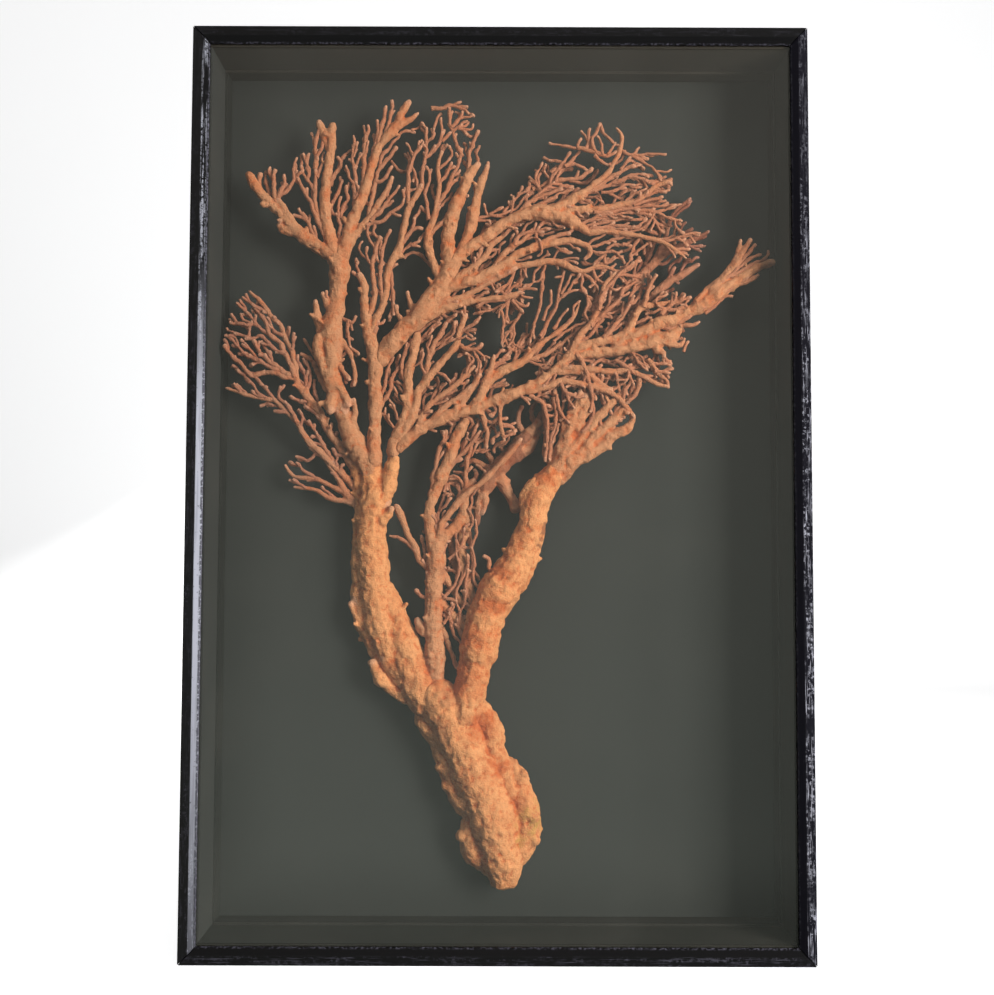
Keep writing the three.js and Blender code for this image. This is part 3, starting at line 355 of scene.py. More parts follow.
@dataclass(frozen=True)
class LacquerFinish:
    """Black lacquer brushed over a wooden rail, scuffed along the edges of its lip and, on some rails, with a painted
    reflection of light down the bevel.
    """

    name: str
    streak: Streak
    tint: Triple = (0.0042, 0.004, 0.0044)
    scuff: Triple = (0.11, 0.105, 0.135)
    scored: float = 0.35
    gloss: float = 0.30
    wear: float = 0.5
    level: float = 0.16
    # Painted reflection: strength and colour of the pale strip of light down the bevel.
    bevel_reflection: float = 0.0
    reflection_tint: Triple = (0.31, 0.315, 0.36)

    def _reflection_mask(self, bench: SurfaceBench, streaks: Signal, specks: Signal) -> Signal:
        """Painted reflection of light down the bevel, strongest half way up and broken by brush marks and chips.

        Args:
            bench: the material's bench.
            streaks: brush marks.
            specks: fine chips.

        Returns:
            How far the bleaching covers each point.
        """
        edge = HALF_WIDTH - FACE_WIDTH
        bevel = abs(bench.x).between(edge - 0.0001, edge - 0.0007) * bench.y.between(BEVEL_FOOT + 0.0004, BEVEL_FOOT)
        height = bench.z.between(-0.10, 0.26) * bench.z.between(0.50, 0.36)
        chipped = abs(bench.x).between(edge - 0.0033, edge - 0.0041) * specks.between(0.40, 0.52)
        solid = height * (0.70 + streaks.between(0.25, 0.55) * 0.30)
        broken = streaks.between(0.44, 0.58) * specks.between(0.40, 0.54) * 0.70
        pitted = (1.0 - chipped * 0.9) * (1.0 - specks.between(0.62, 0.70) * 0.7)
        return bevel * solid.most(broken) * pitted * self.bevel_reflection

    def material(self) -> Material:
        """Builds the material.

        Returns:
            The material.
        """
        bench = SurfaceBench(self.name)
        squeezed = bench.stretched(self.streak.value)
        brushed = bench.noise(squeezed, 0.0016, 3.0, 0.6)
        hairs = bench.noise(squeezed, 0.0006, 1.0, 0.5)
        cloud = bench.noise(bench.place, 0.030, 3.0, 0.6)
        specks = bench.noise(bench.place, 0.0022, 3.0, 0.7)
        upright = self.streak is Streak.UPRIGHT
        across = abs(bench.x) if upright else abs(bench.z - MID_HEIGHT)
        from_lip = across - ((HALF_WIDTH if upright else MID_HEIGHT) - LIP_WIDTH)
        near_edge = from_lip.between(0.0016, 0.0002)
        worn = near_edge * specks.between(0.47, 0.60) * self.wear + specks.between(0.70, 0.78) * 0.3
        crackle = specks.between(0.50, 0.62) * brushed.between(0.40, 0.60)
        flat = from_lip.between(0.0046, 0.0058) * (0.25 + bench.z.between(0.60, 0.38) * 0.75)
        scratch = hairs.between(0.58, 0.72).most(crackle) * cloud.between(0.25, 0.55) * flat * self.scored
        colour = bench.mixed((worn + scratch).clamped(), self.tint, self.scuff)
        # Painted reflection of light on the bevel, mixed in as a pale colour.
        if self.bevel_reflection:
            colour = bench.mixed(self._reflection_mask(bench, brushed, specks), colour, self.reflection_tint)
        rough = (self.gloss + brushed * 0.22 - 0.08 + cloud * 0.10 + worn * 0.3).clamped()
        relief = brushed * 0.7 + hairs * 0.3 + cloud * 0.4
        return bench.coat(colour, rough, bench.bump(relief, 0.00022, 0.55), Specular_IOR_Level=self.level)


@dataclass(frozen=True)
class BoardPaint:
    """Dull black paint on a thin board, with dust in its corners and a few pale specks."""

    name: str
    tint: Triple
    dust: Triple = (0.11, 0.10, 0.085)
    dusty: float = 0.35
    specks: float = 0.5
    rough: float = 0.6

    def material(self) -> Material:
        """Builds the material.

        Returns:
            The material.
        """
        bench = SurfaceBench(self.name)
        cloud = bench.noise(bench.place, 0.055, 4.0, 0.55)
        grain = bench.noise(bench.place, 0.0007, 2.0, 0.6)
        fleck = bench.noise(bench.place, 0.0017, 1.0, 0.5).between(0.76, 0.80) * self.specks
        low = bench.z.between(0.12, 0.0)
        dust = (cloud.between(0.40, 0.8) * 0.6 + low * 0.4) * (0.3 + grain * 0.5) * self.dusty
        colour = bench.mixed((dust + fleck).clamped(), self.tint, self.dust)
        rough = (self.rough + grain * 0.12 + cloud * 0.10).clamped()
        return bench.coat(colour, rough, bench.bump(grain, 0.00002, 0.15), Specular_IOR_Level=0.2)


@dataclass(frozen=True)
class ClearGlass:
    """Flat window glass: see-through, with a clean mirror-like reflection."""

    name: str
    square_on: float = 0.043

    def material(self) -> Material:
        """Builds the material.

        Returns:
            The material.
        """
        bench = SurfaceBench(self.name)
        facing = bench.signal("ShaderNodeLayerWeight", "Facing", None, {"Blend": 0.5})
        mirror = (self.square_on + (1.0 - self.square_on) * facing ** 5.0).clamped()
        smear = bench.noise(bench.stretched((1.0, 1.0, 0.35)), 0.07, 3.0, 0.6)
        through = bench.add("ShaderNodeBsdfTransparent", None, {"Color": (0.985, 0.99, 0.985, 1.0)})
        shine = bench.add("ShaderNodeBsdfAnisotropic", None, {"Roughness": 0.0, "Color": (1.0, 1.0, 1.0, 1.0)})
        amount = (mirror * (0.94 + smear * 0.12)).clamped()
        mix = bench.add("ShaderNodeMixShader", None, {0: amount, 1: through.outputs[0], 2: shine.outputs[0]})
        bench.feed(bench.output.inputs["Surface"], mix.outputs[0])
        return bench.material


# ---- limb plan ----


HEART = (-1.5, 287.0)  # centre that the deeper limbs spread away from
SPREAD = 770.0  # the fan is dished: a limb this far back would lie twice as wide
LEAST_RADIUS = 0.8


def in_case(plane: np.ndarray, depth: np.ndarray) -> np.ndarray:
    """Sets points of the flat plan in the dished fan.

    Args:
        plane: across and height of each point, in millimetres.
        depth: how far back each point lies.

    Returns:
        The points in the case, in metres.
    """
    grow = 1.0 + depth / SPREAD
    across = HEART[0] + (plane[:, 0] - HEART[0]) * grow
    height = HEART[1] + (plane[:, 1] - HEART[1]) * grow
    return np.stack([across, depth, height], axis=1) * MM


@dataclass(frozen=True)
class LimbLine:
    """Evenly spaced points along the middle of a limb, in the flat plan."""

    plane: np.ndarray
    depth: np.ndarray
    radius: np.ndarray

    @property
    def heading(self) -> np.ndarray:
        """Unit direction of growth at each point."""
        step = np.gradient(self.plane, axis=0)
        return step / np.maximum(np.linalg.norm(step, axis=1, keepdims=True), 1e-9)

    @property
    def along(self) -> np.ndarray:
        """Distance from the limb's root, in millimetres."""
        steps = np.linalg.norm(np.diff(self.plane, axis=0), axis=1)
        return np.concatenate([[0.0], np.cumsum(steps)])


@dataclass(frozen=True)
class Limb:
    """A limb's depth at its root and tip, and its stations: across, height and radius."""

    root_depth: float
    tip_depth: float
    run: tuple[Triple, ...]

    @property
    def stoutest(self) -> float:
        """Largest radius along the limb."""
        return max(radius for _, _, radius in self.run)

    def line(self, pitch: float) -> LimbLine:
        """Rounds the limb's stations into a smooth line.

        Args:
            pitch: distance between its points, in millimetres.

        Returns:
            The line.
        """
        stations = np.array(self.run, dtype=float)
        depth = np.linspace(self.root_depth, self.tip_depth, len(stations))
        knots = np.column_stack([stations, depth])
        knots = np.vstack([2 * knots[0] - knots[1], knots, 2 * knots[-1] - knots[-2]])
        rows = []
        for first, start, end, last in zip(knots, knots[1:], knots[2:], knots[3:]):
            count = max(1, round(float(np.linalg.norm(end[:2] - start[:2])) / pitch))
            t = np.arange(count)[:, None] / count
            rows.append(0.5 * (2 * start + (end - first) * t + (2 * first - 5 * start + 4 * end - last) * t**2
                               + (3 * start - first - 3 * end + last) * t**3))
        rows.append(knots[-2][None, :])
        points = np.vstack(rows)
        return LimbLine(points[:, :2], points[:, 3], np.maximum(points[:, 2], LEAST_RADIUS))


def corners_of(text: str) -> tuple[tuple[float, float], ...]:
    """Reads an outline's corners: across and height of each, in millimetres."""
    values = [float(word) for word in text.split()]
    return tuple(zip(values[::2], values[1::2]))


def limb_of(row: str) -> Limb:
    """Reads one limb from its row.

    Args:
        row: the depths at root and tip and a colon, then across, height and radius of each station;
            or, for a sprig, both depths, its one radius and a colon, then across and height of each.

    Returns:
        The limb.
    """
    head, body = ([float(word) for word in words.split()] for words in row.split(":"))
    root_depth, tip_depth, *radius = head
    if not radius:
        return Limb(root_depth, tip_depth, tuple(zip(body[::3], body[1::3], body[2::3])))
    girth = np.linspace(radius[0] * 0.95, max(radius[0] * 0.66, 0.85), len(body) // 2)
    return Limb(root_depth, tip_depth, tuple(zip(body[::2], body[1::2], girth.tolist())))


# Each part of the fan with the rows of its limbs, from the holdfast up, as they fork.
FAN_ROWS = {
"holdfast_trunk": """
9 8:5 52 12.5 4 61 14.6 1 76 16 -3 92 17 -10 110 17 -17 126 17 -24 142 16 -31 156 16 -38 170 17 -46 180 15;11 10:11 58
7 18 74 10 22 88 10 19 104 8.5 15 118 8 8 129 7;13 12:-7 57 6 -15 68 10 -18 80 10 -17 94 9 -24 108 11 -32 122 10 -37
136 9 -43 150 9 -52 164 10;8 9:10 112 8 5 126 8 -2 138 7.5 -3.5 148 8 -5 157 8 -13 170 9;9 8:-36 156 12 -38 168 12.5
-40 178 11.5;12 8:-34 124 5 -42 129 4;12 8:-31 112 6 -38 116 4;8 4:14 118 5 19 124 3.4;7 4:22 96 6 27 92 5;7 5:22 80 6
27 76 4.4;11 8:-18 84 6 -26 79 4.4""",
"left_main_limb": """
10 13:-50 174 14 -57 187 14 -63 200 13.5 -68 214 12.5 -73 228 11 -78 242 9.5 -83 256 7.5;12 10:-62 188 10 -74 203 11
-80 218 11 -86 232 12 -89 248 12 -91 262 12 -92 277 11.5 -93 292 11 -93 307 11.5 -91 322 11.5 -92 336 9 -93 348 7.2;14
12:-82 190 4 -87 204 4.5 -93 220 5.5 -98 234 7 -101 250 6.5 -101 266 6.5 -101 284 6 -102 300 5 -100 316 5 -101 332 6
-103 346 6.5;7 5:-86 318 6 -82 330 6 -79 342 5.5 -77 352 5;10 6:-66 178 5 -77 184 4.4 -86 192 4.2 -89 198 3.2 -92 204
2.6;12 9:-84 192 3.4 -87 206 3.4 -91 216 3.6 -97 225 3.2 -103 236 2.6 -108 246 1.8;4 2:-86 306 4 -81 311 3 -78 316 2""",
"right_main_limb": """
2 8:-26 160 9 -24 168 12 -20 186 12 -17 200 12 -14 214 13.5 -11 228 13.5 -7 242 13.5 0 255 13.5 8 267 13 14 279 12 19
291 11 24 303 10 26 316 10.5 31 329 11 39 340 8.5 45 348 5.9;12 10:10 256 6 17 265 6.5 21 275 6.5 24 286 6.5 28 297
5.5 30 308 4;5 4:18 317 3.4 20 326 4.5 26 335 4.5;4 1 2:-3 268 -7 272 -7 279 -11 281""",
"centre_limb": """
8 6:-46 190 7 -46.5 205 7.2 -46.5 220 7 -47.3 235 6 -47.3 250 6 -46.7 265 6.8 -45.5 280 6.5 -46 290 6.5;6 8:-48 288
4.5 -50 300 4.2 -51 311 4 -49 321 4 -46 329 4.2 -43 337 4.4 -39 346 4.5 -35 356 4.6 -32 366 4.4 -28 374 4 -24 381
3.6;4 1:-43 292 3 -42 304 2.4 -37 311 2.3 -30 320 2.3 -21 329 2.2 -10 337 2.2 1 349 2.1 7 355 2 12 361 1.8 16 367
1.4;6 8:-43 290 4 -37 297 4 -30 304 3.8 -26 312 3.5 -25 322 3.4 -23 331 3 -18 336 2.4;8 9:-25 316 3.4 -24 302 3.6 -27
291 3.4 -27 278 3.3 -25 267 3.3 -21 256 3.4 -17 246 3.4;8 9 1.8:-22 302 -20 285 -19 274 -14 263;8 8:-43 250 3.5 -36
241 3.2 -29 234 3.2 -25 228 3;8 8:-41 268 2.8 -34 258 2.4 -29 250 2.4 -22 243 2.4;8 9 2.4:-41 228 -37 218 -33 208 -30
199;12 13:-36 297 2.6 -34 284 2.6 -32 273 2.4 -27 266 2.2;7 5:-47 266 2.6 -52 272 2.2 -58 278 2.2 -61 287 2.3 -66 296
2.4 -70 307 2.5 -75 317 2.6;6 6 1.6:-59 282 -66 290 -73 294 -80 296;8 7:-50 224 4 -55 227 4 -59 234 2.6;8 7 2:-47 250
-52 250 -57 253 -61 257;7 7 2.2:-50 322 -48 337 -47 344 -45 352 -44 359 -40 366 -38 374;6 4 2:-36 346 -30 353 -24 360
-18 367 -14 373;6 5 2:-24 330 -24 349 -21 359 -19 370 -16 378;6 4 1.5:-20 214 -27 224 -30 236;5 3 1.4:-24 218 -29 228
-28 240 -31 250;5 4 1.5:-40 232 -32 244 -30 256 -26 266;5 3 1.3:-30 236 -25 246 -24 256;6 3 1.5:-14 240 -22 250 -24
262 -22 272;5 4 1.4:-40 250 -31 262 -29 274 -31 284;4 3 1.3:-28 262 -23 272 -22 282;6 3 1.4:-10 252 -18 264 -17 276
-20 288;5 4 1.3:-36 278 -27 290 -25 302;4 3 1.3:-20 288 -16 298 -17 308;4 3 1.2:-24 296 -19 306 -22 316;6 4 1.4:-26
216 -34 228 -36 240""",
"upper_left_stem": """
9 2:-92 334 6 -94 342 7.4 -97 350 8 -103 359 7.5 -109 370 7.2 -113 381 6.5 -118 394 6 -122 408 6.5 -123 422 7 -123 436
8 -124 450 8.2 -121 462 6.5 -120 472 6 -119 482 6.5 -118 492 7.7 -119 501 6.4;3 0:-125 410 4 -131 424 3.5 -134 436 4
-133 443 3.2;4 3:-128 440 4 -133 452 3 -135 462 2.5 -136 469 2;2 0:-124 458 3 -127 466 2.5 -131 475 1.8;3 0:-122 400 4
-125 392 4 -124 387 2.6;3 0:-119 406 4 -113 398 3 -111 391 2;4 2:-110 376 3 -106 386 2.4 -107 396 1.8;3 1:-118 441 2.5
-110 430 1.8 -107 420 1.6 -106 412 1.5 -107 406 1.3;3 2 2.4:-119 424 -115 417 -110 410;3 1 1.6:-119 458 -113 455 -109
453 -105 458;2 1 1.4:-112 455 -112 444 -109 434;5 9 2.4:-124 400 -130 408 -135 419 -138 424 -147 430;8 10 1.4:-135 419
-136 427 -140 433 -145 441""",
"left_finger": """
2 0:-122 504 5.5 -130 507 5.2 -137 511 5 -146 518 4.9 -155 526 4.6 -162 534 3.6 -170 542 3.5 -178 550 3.7 -183 557 3.6
-186 563 3.3;1 1:-150 519 3 -157 521 3.6 -161 523 3.6 -163 527 2.6;0 0:-149 520 3 -154 528 2.8 -160 538 2.6 -165 545
2.4;0 0 2.4:-178 550 -179 558 -178 565;3 4 1.7:-171 548 -174 558 -174 566;0 0 2.1:-166 543 -168 554 -168 563 -167
568;1 1 1.8:-168 560 -171 565 -171 570;0 -1 1.9:-165 544 -163 551 -160 557 -160 564;0 0 1.6:-164 548 -159 551 -154 557
-153 562 -154 568 -153 573 -151 577;1 0 1.9:-134 511 -139 520 -143 529 -148 532 -153 533;1 0 1.8:-143 530 -147 535
-149 539;1 0 1.5:-136 515 -137 521 -138 526""",
"tall_finger": """
2 0:-121 500 6 -124 510 5.2 -127 522 4.6 -129 534 4 -130 545 3.8 -129 558 3.5 -127 573 3.3 -125 586 3.2 -125 594 2.7
-124.5 601 2.9;1 0:-128 583 2 -131 592 2.6 -133 599 3.1 -135 604 2.2;1 1 2.2:-129 520 -134 531 -137 543 -137 556 -137
568;1 0 2.1:-137 568 -137 580 -137 588 -135 597 -134 604;1 1 1.9:-131 588 -131 596 -132 601;0 0 1.5:-137 577 -133 583
-132 589 -130 594;1 1 1.3:-138 586 -140 592;1 1 1.5:-136 562 -133 570 -132 576;0 0 1.9:-130 518 -135 529 -138 536 -141
543 -145 551 -149 558 -151 562;0 0 1.4:-151 562 -148 565 -146 568;1 1 1.7:-137 548 -140 556 -143 560 -147 567 -148
571;1 1 1.5:-143 560 -142 567 -144 573 -146 578 -147 580;1 1 1.4:-144 574 -142 580;4 4 2:-127 556 -121 567 -118 571
-120 577;5 5 1.5:-121 566 -116 578 -111 581;3 4 1.7:-127 534 -124 544 -120 551 -117 560;2 2 1.6:-119 514 -118 528 -117
538 -113 545 -114 551 -114 556;1 0 1.3:-118 526 -120 531 -122 535""",
"crown_finger": """
2 0:-117 502 6 -114 512 5.4 -111 523 4.6 -108 532 4.2 -103 544 3.9 -99 556 3.6 -96 568 3.3 -92 581 3.1 -87 590 3.1 -81
597 3.6 -76 603 3.3 -73 611 3 -68 619 2.5;0 0:-78 600 3 -69 605 2.6 -64 608 1.9 -61 611 1;1 0:-115 508 3.4 -106 520
2.9 -101 527 2.6 -95 534 2.4 -89 544 2.1 -84 552 1.9 -80 562 1.6;1 1 2.1:-91 586 -88 601 -86 609 -85 616;0 0 1.9:-86
592 -83 604 -81 612 -81 621;0 0 1.2:-82 609 -78 613;1 1 1.6:-95 579 -92 590 -91 598 -92 606;1 2 2:-101 556 -101 572
-101 585 -100 594 -97 597 -98 602;1 1 1.3:-100 580 -98 590;1 1 1.8:-108 533 -108 547 -109 556 -107 561 -108 568 -110
577 -109 587;1 1 1.5:-109 578 -106 589;1 1 1.3:-108 569 -105 575 -102 580;0 0 1.3:-109 557 -112 563 -115 571;0 0
1.5:-108 545 -105 551 -105 556;1 1 2.1:-97 532 -96 539 -94 549 -93 558 -90 568 -86 573 -81 580 -77 586;0 0 1.8:-92 560
-88 559 -83 565 -80 571;1 3 1.5:-90 568 -88 577 -84 583 -78 590 -72 597 -66 598;0 -1 1.8:-96 529 -86 540 -82 546 -78
550 -75 556;0 0 1.5:-83 545 -83 552 -81 557;0 0 1.7:-99 526 -93 528 -87 529 -81 535 -74 540 -71 546;0 0 1.4:-80 535
-73 533;1 1 1.4:-95 528 -98 524 -97 516 -92 508 -91 500;1 1 1.3:-93 527 -93 519 -88 514 -89 505 -86 496;5 6 1.4:-81
575 -76 568 -70 567 -68 574 -71 580""",
"left_side_fan": """
12 2:-106 346 4 -117 361 3 -126 374 2.8 -133 388 2.7 -143 400 2.6 -150 411 2.6 -151 423 2.4 -153 432 2.2 -159 443 2
-161 450 1.9 -169 458 1.8 -176 468 1.6 -185 476 1.3;3 3 1.5:-170 460 -181 465 -190 472;6 3 2.2:-150 412 -158 430 -162
438 -170 444 -172 452 -179 461 -182 465;5 3 1.6:-169 443 -178 450 -187.5 461 -194 468;4 3 1.4:-178 450 -184 452 -190
455 -192 460;5 4 1.6:-160 443 -166 446 -169 452;5 3 1.7:-157 429 -167 434 -175 443 -181 441 -190 443 -196 445;4 4
1.3:-185 441 -184.5 449;7 4 2.3:-149 411 -158 416 -167 422 -173 427 -178 432 -181 440;5 5 1.5:-167 422 -169 428 -172
433;6 3 1.9:-158 416 -169 419 -176 424 -186 428 -193 435 -202 444;4 4 1.3:-192 434 -194.5 441;5 4 1.3:-179 426 -184
432 -188 438;7 2 2.3:-149 411 -156 412 -163 415 -169 416 -176 415 -182 413 -187 418 -192 424 -199 429 -203 436;5 5
1.4:-181 413 -172 404 -165 395;9 7 1.8:-133 388 -138 393 -146 395;9 8 1.8:-143 400 -142 412 -147 422;9 9 1.6:-142 402
-139 412 -143 425;5 4 1.6:-153 432 -152 438 -150 443;11 8 2:-117 361 -129 377 -136 386 -143 391""",
"left_lower_fan": """
12 3:-104 330 3 -113 339 2.6 -122 348 2.4 -131 357 2.3 -138 363 2.3 -144 370 2.2 -148 378 2.2 -157 387 2 -165 395 1.8
-172 396 1.6 -182 398 1.5 -192 401 1.4 -201 404 1.2;4 4 1.6:-171 396 -178 401 -181 406 -186 410;5 4 2:-148 378 -154
388 -159 395;5 4 1.7:-156 386 -166 387;12 8 2:-120 347 -127 358 -133 369 -140 381""",
"left_root_fan": """
13 11:-102 318 3 -112 326 2.2 -121 331 1.9 -134 337 1.7 -150 339 1.4 -157 347 1.1;12 10 1.6:-132 336 -141 342 -149
349;13 12:-102 315 3 -109 320 2.2 -124 323 1.8 -134 329 1.6 -150 331 1.1;13 10:-104 320 2.6 -112 328 2.2 -119 339 1.9
-128 352 1.6 -139 360 1.1""",
"inner_left_limb": """
6 2:-92 350 6.4 -92 362 5.5 -91.5 374 5 -91 386 5 -91 398 5 -91.5 410 4.8 -91 421 6 -93 432 5 -96 444 4.6 -98 456 4
-99.5 468 3 -100 481 2.8 -104 489 2.2;2 0:-94 442 3 -92 453 2.8 -87 464 2.6 -84 474 2.6 -83 489 2.6 -79 500 2.9 -74
510 3 -70 529 2.4 -67 540 2.4 -61 550 2.1 -58 556 1.9;2 1 2.4:-97 455 -93 467 -92 478 -94 491 -93 504 -88 518;1 1
2:-86 466 -88 480 -88 496 -86 510 -81 523;2 2 1.8:-81 497 -80 484 -78.5 470 -78 458;2 1 2:-94 440 -91 449 -89 455;5 5
1.9:-87 392 -81 401 -79 411 -74 421;5 5 1.7:-87 398 -84 408 -82 418 -78 428;0 0 1.9:-68 542 -68 555 -68 566 -65 574
-63 580 -58 586;0 0 1.3:-66 570 -62 563 -61 553;0 0 1.4:-68 548 -71 555;0 0 1.3:-64 578 -67 584 -70 588;1 1 1.4:-63
580 -60 590;0 0 1.8:-58 553 -58 561 -57 570 -55 580 -55 589 -55 600;0 0 1.4:-55 588 -50 593 -49 600;0 0 1.6:-55 577
-47 585 -44 592 -43 597;0 0 1.5:-43 590 -39 594 -36 596;0 1 1.6:-52 530 -55 544 -55 553 -52 561 -53 568 -55 571;0 0
1.8:-72 512 -65 523 -63 532;0 0 1.6:-65 522 -60 524 -57 523;1 1 1.6:-78 502 -68 510 -59 515""",
"inner_upper_limb": """
4 0:-88 424 5 -84 431 6.2 -77 440 7 -69 449 7 -60 457 7.5 -53 466 7.5 -47 475 7.5 -41 485 6.5 -37 495 6 -38 506 5.5
-38 518 5.2 -36 530 5 -32 542 4.6 -27 554 4.2 -22 565 3.8 -16 572 2.4;1 0:-38 490 4 -31 501 4 -25 514 4 -20 530 3.8
-17 545 3.4 -14 557 3 -9 571 1.8;1 0:-44 486 3 -50 500 2.8 -53 510 3.2 -52 522 3 -48 534 2.2 -46 546 2 -45 556 1.8 -46
568 1.6 -45 576 1.5 -43 582 1.3;3 3:-63 460 3 -66 468 2.2 -68 476 1.4;2 2 2.4:-72 452 -75 460 -76 466;0 0 1.9:-23 562
-23 579 -21 585 -19 592 -16 598;0 0 1.3:-21 583 -22 590;0 0 1.4:-46 568 -40 573 -37 578;0 0 1.5:-45 557 -40 565 -36
574;0 0 1.9:-46 543 -40 551 -36 561 -32 569 -30 576 -28 584;0 0 1.4:-39 552 -33 561;0 0 1.3:-30 576 -33 581;0 0
1.5:-48 533 -44 540;0 0 2.1:-51 521 -45 526 -41 530 -37 534;0 0 1.7:-28 578 -31 584 -33 589 -35 596 -37 600 -38 609
-38 616;0 0 1.9:-51 614 -44 615 -37 617 -32 616 -24 615;0 0 1.3:-36 617 -28 620;0 0 1.4:-32 616 -27 613 -23 611;0 0
1.5:-36 600 -30 607 -25 608 -20 610;0 0 1.3:-30 607 -28 613;0 0 1.5:-36 596 -31 600 -28 603;0 0 1.5:-31 599 -24 598
-21 599 -20 603;0 0 1.5:-29 599 -24 594""",
"upper_right_fan": """
0 1:-39 488 4.6 -33 500 4.5 -20 511 4.3 -10 518 4 -2 524 4 10 531 4 21 535 4.5 30 536 5 40 535 5 50 531 4.8 58 527
3.8;0 0:36 536 4.2 46 541 4 56 547 3.4 64 552 2.8 72 559 2.3 80 565 1.9 85 574 1.8 89 582 1.8 91 593 1.5 87 600 1;1
0:44 534 3.6 56 538 3.2 70 538 2.8 86 541 2.4 95 543 2.2 102 545 1.9 110 551 1.8 118 557 1.8 127 560 1.5 128 557 1;1
0:54 528 3.8 62 524 3 67 521 2.4 80 522 2.1 94 520 1.9 106 518 1.8 118 515 1.8 128 510 1.6 138 502 1.1;0 0 1.9:62 548
80 561 89 566 96 570 101 571;0 0 1.5:90 568 94 574 98 579;0 0 1.4:90 583 97 580 106 580 111 581 124 580;0 1 1.3:98 580
107 574 115 569 120 560;1 1 1:116 567 124 567 128 569;0 0 1.7:70 553 81 557 92 561 98 565 108 565;0 0 1.5:76 551 87
553 94 557 101 557;-1 -1 1.4:88 560 96 564 104 562 112 559;0 0 1.6:98 543 113 551 124 552;0 0 1.5:100 542 113 546 122
548;1 1 1.3:94 545 102 551 109 554;0 0 1.8:70 536 81 536 94 539 106 538 118 537 131 542;1 2 1.3:102 541 118 541 128
542 135 543;0 0 1.4:116 537 124 533 131 531 135 531;0 0 1.1:130 531 131 526 135 522;0 0 1.2:124 511 131 502;0 0
1.4:116 515 129 516 139 520 149 521;0 0 1.5:60 527 74 533 89 535 101 536 113 534;0 0 1.2:115 536 111 529 105 524 96
521;1 1 1.4:62 525 80 529 89 531 101 531 110 531;0 0 1.3:64 523 81 526 91 526 101 526 107 529;0 0 1.2:68 522 77 525 87
524 95 524;0 0 1.9:58 585 70 582 80 579 87 582;0 0 1.6:60 584 58 587 61 592;0 0 1.5:70 581 67 588 60 598;0 0 1.6:64
584 66 592 67 600;-1 -1 1.7:72 582 68 591 72 597 75 604;0 0 1.4:75 603 78 596 84 589 90 587;0 0 1.5:70 579 75 575 81
572;1 1 1.3:62 584 54 585 43 587 36 589;-1 -1 1.3:76 580 76 588 72 594;-1 -1 1.2:80 580 84 584 86 590;5 5 2:24 553 44
561 56 561 65 566 69 570;4 4 1.6:32 548 42 566 48 575 53 582;4 4 1.3:46 574 37 576;5 5 1.7:38 566 50 572 60 571 66
568;4 4 1.6:49 571 56 578 60 583;1 1 1.7:-26 514 -24 520 -17 531 -9 533 -2 538 3 540;1 1 1.4:-8 534 0 534 9 538;1 1
1.1:-9 533 -12 542;1 1 1.2:-18 530 -6 529;1 1 1.2:8 532 10 545 8 550;1 1 1:10 545 16 550 21 553;1 1 1.9:-24 506 -24
525 -22 540;0 0 2:12 533 20 542 27 546 38 551 47 554;0 0 2:20 538 33 544 43 549;0 0 2.2:34 539 46 543 56 546;1 1
1.5:24 545 32 552 41 559;2 2 1.2:33 548 27 560 28 566 31 574""",
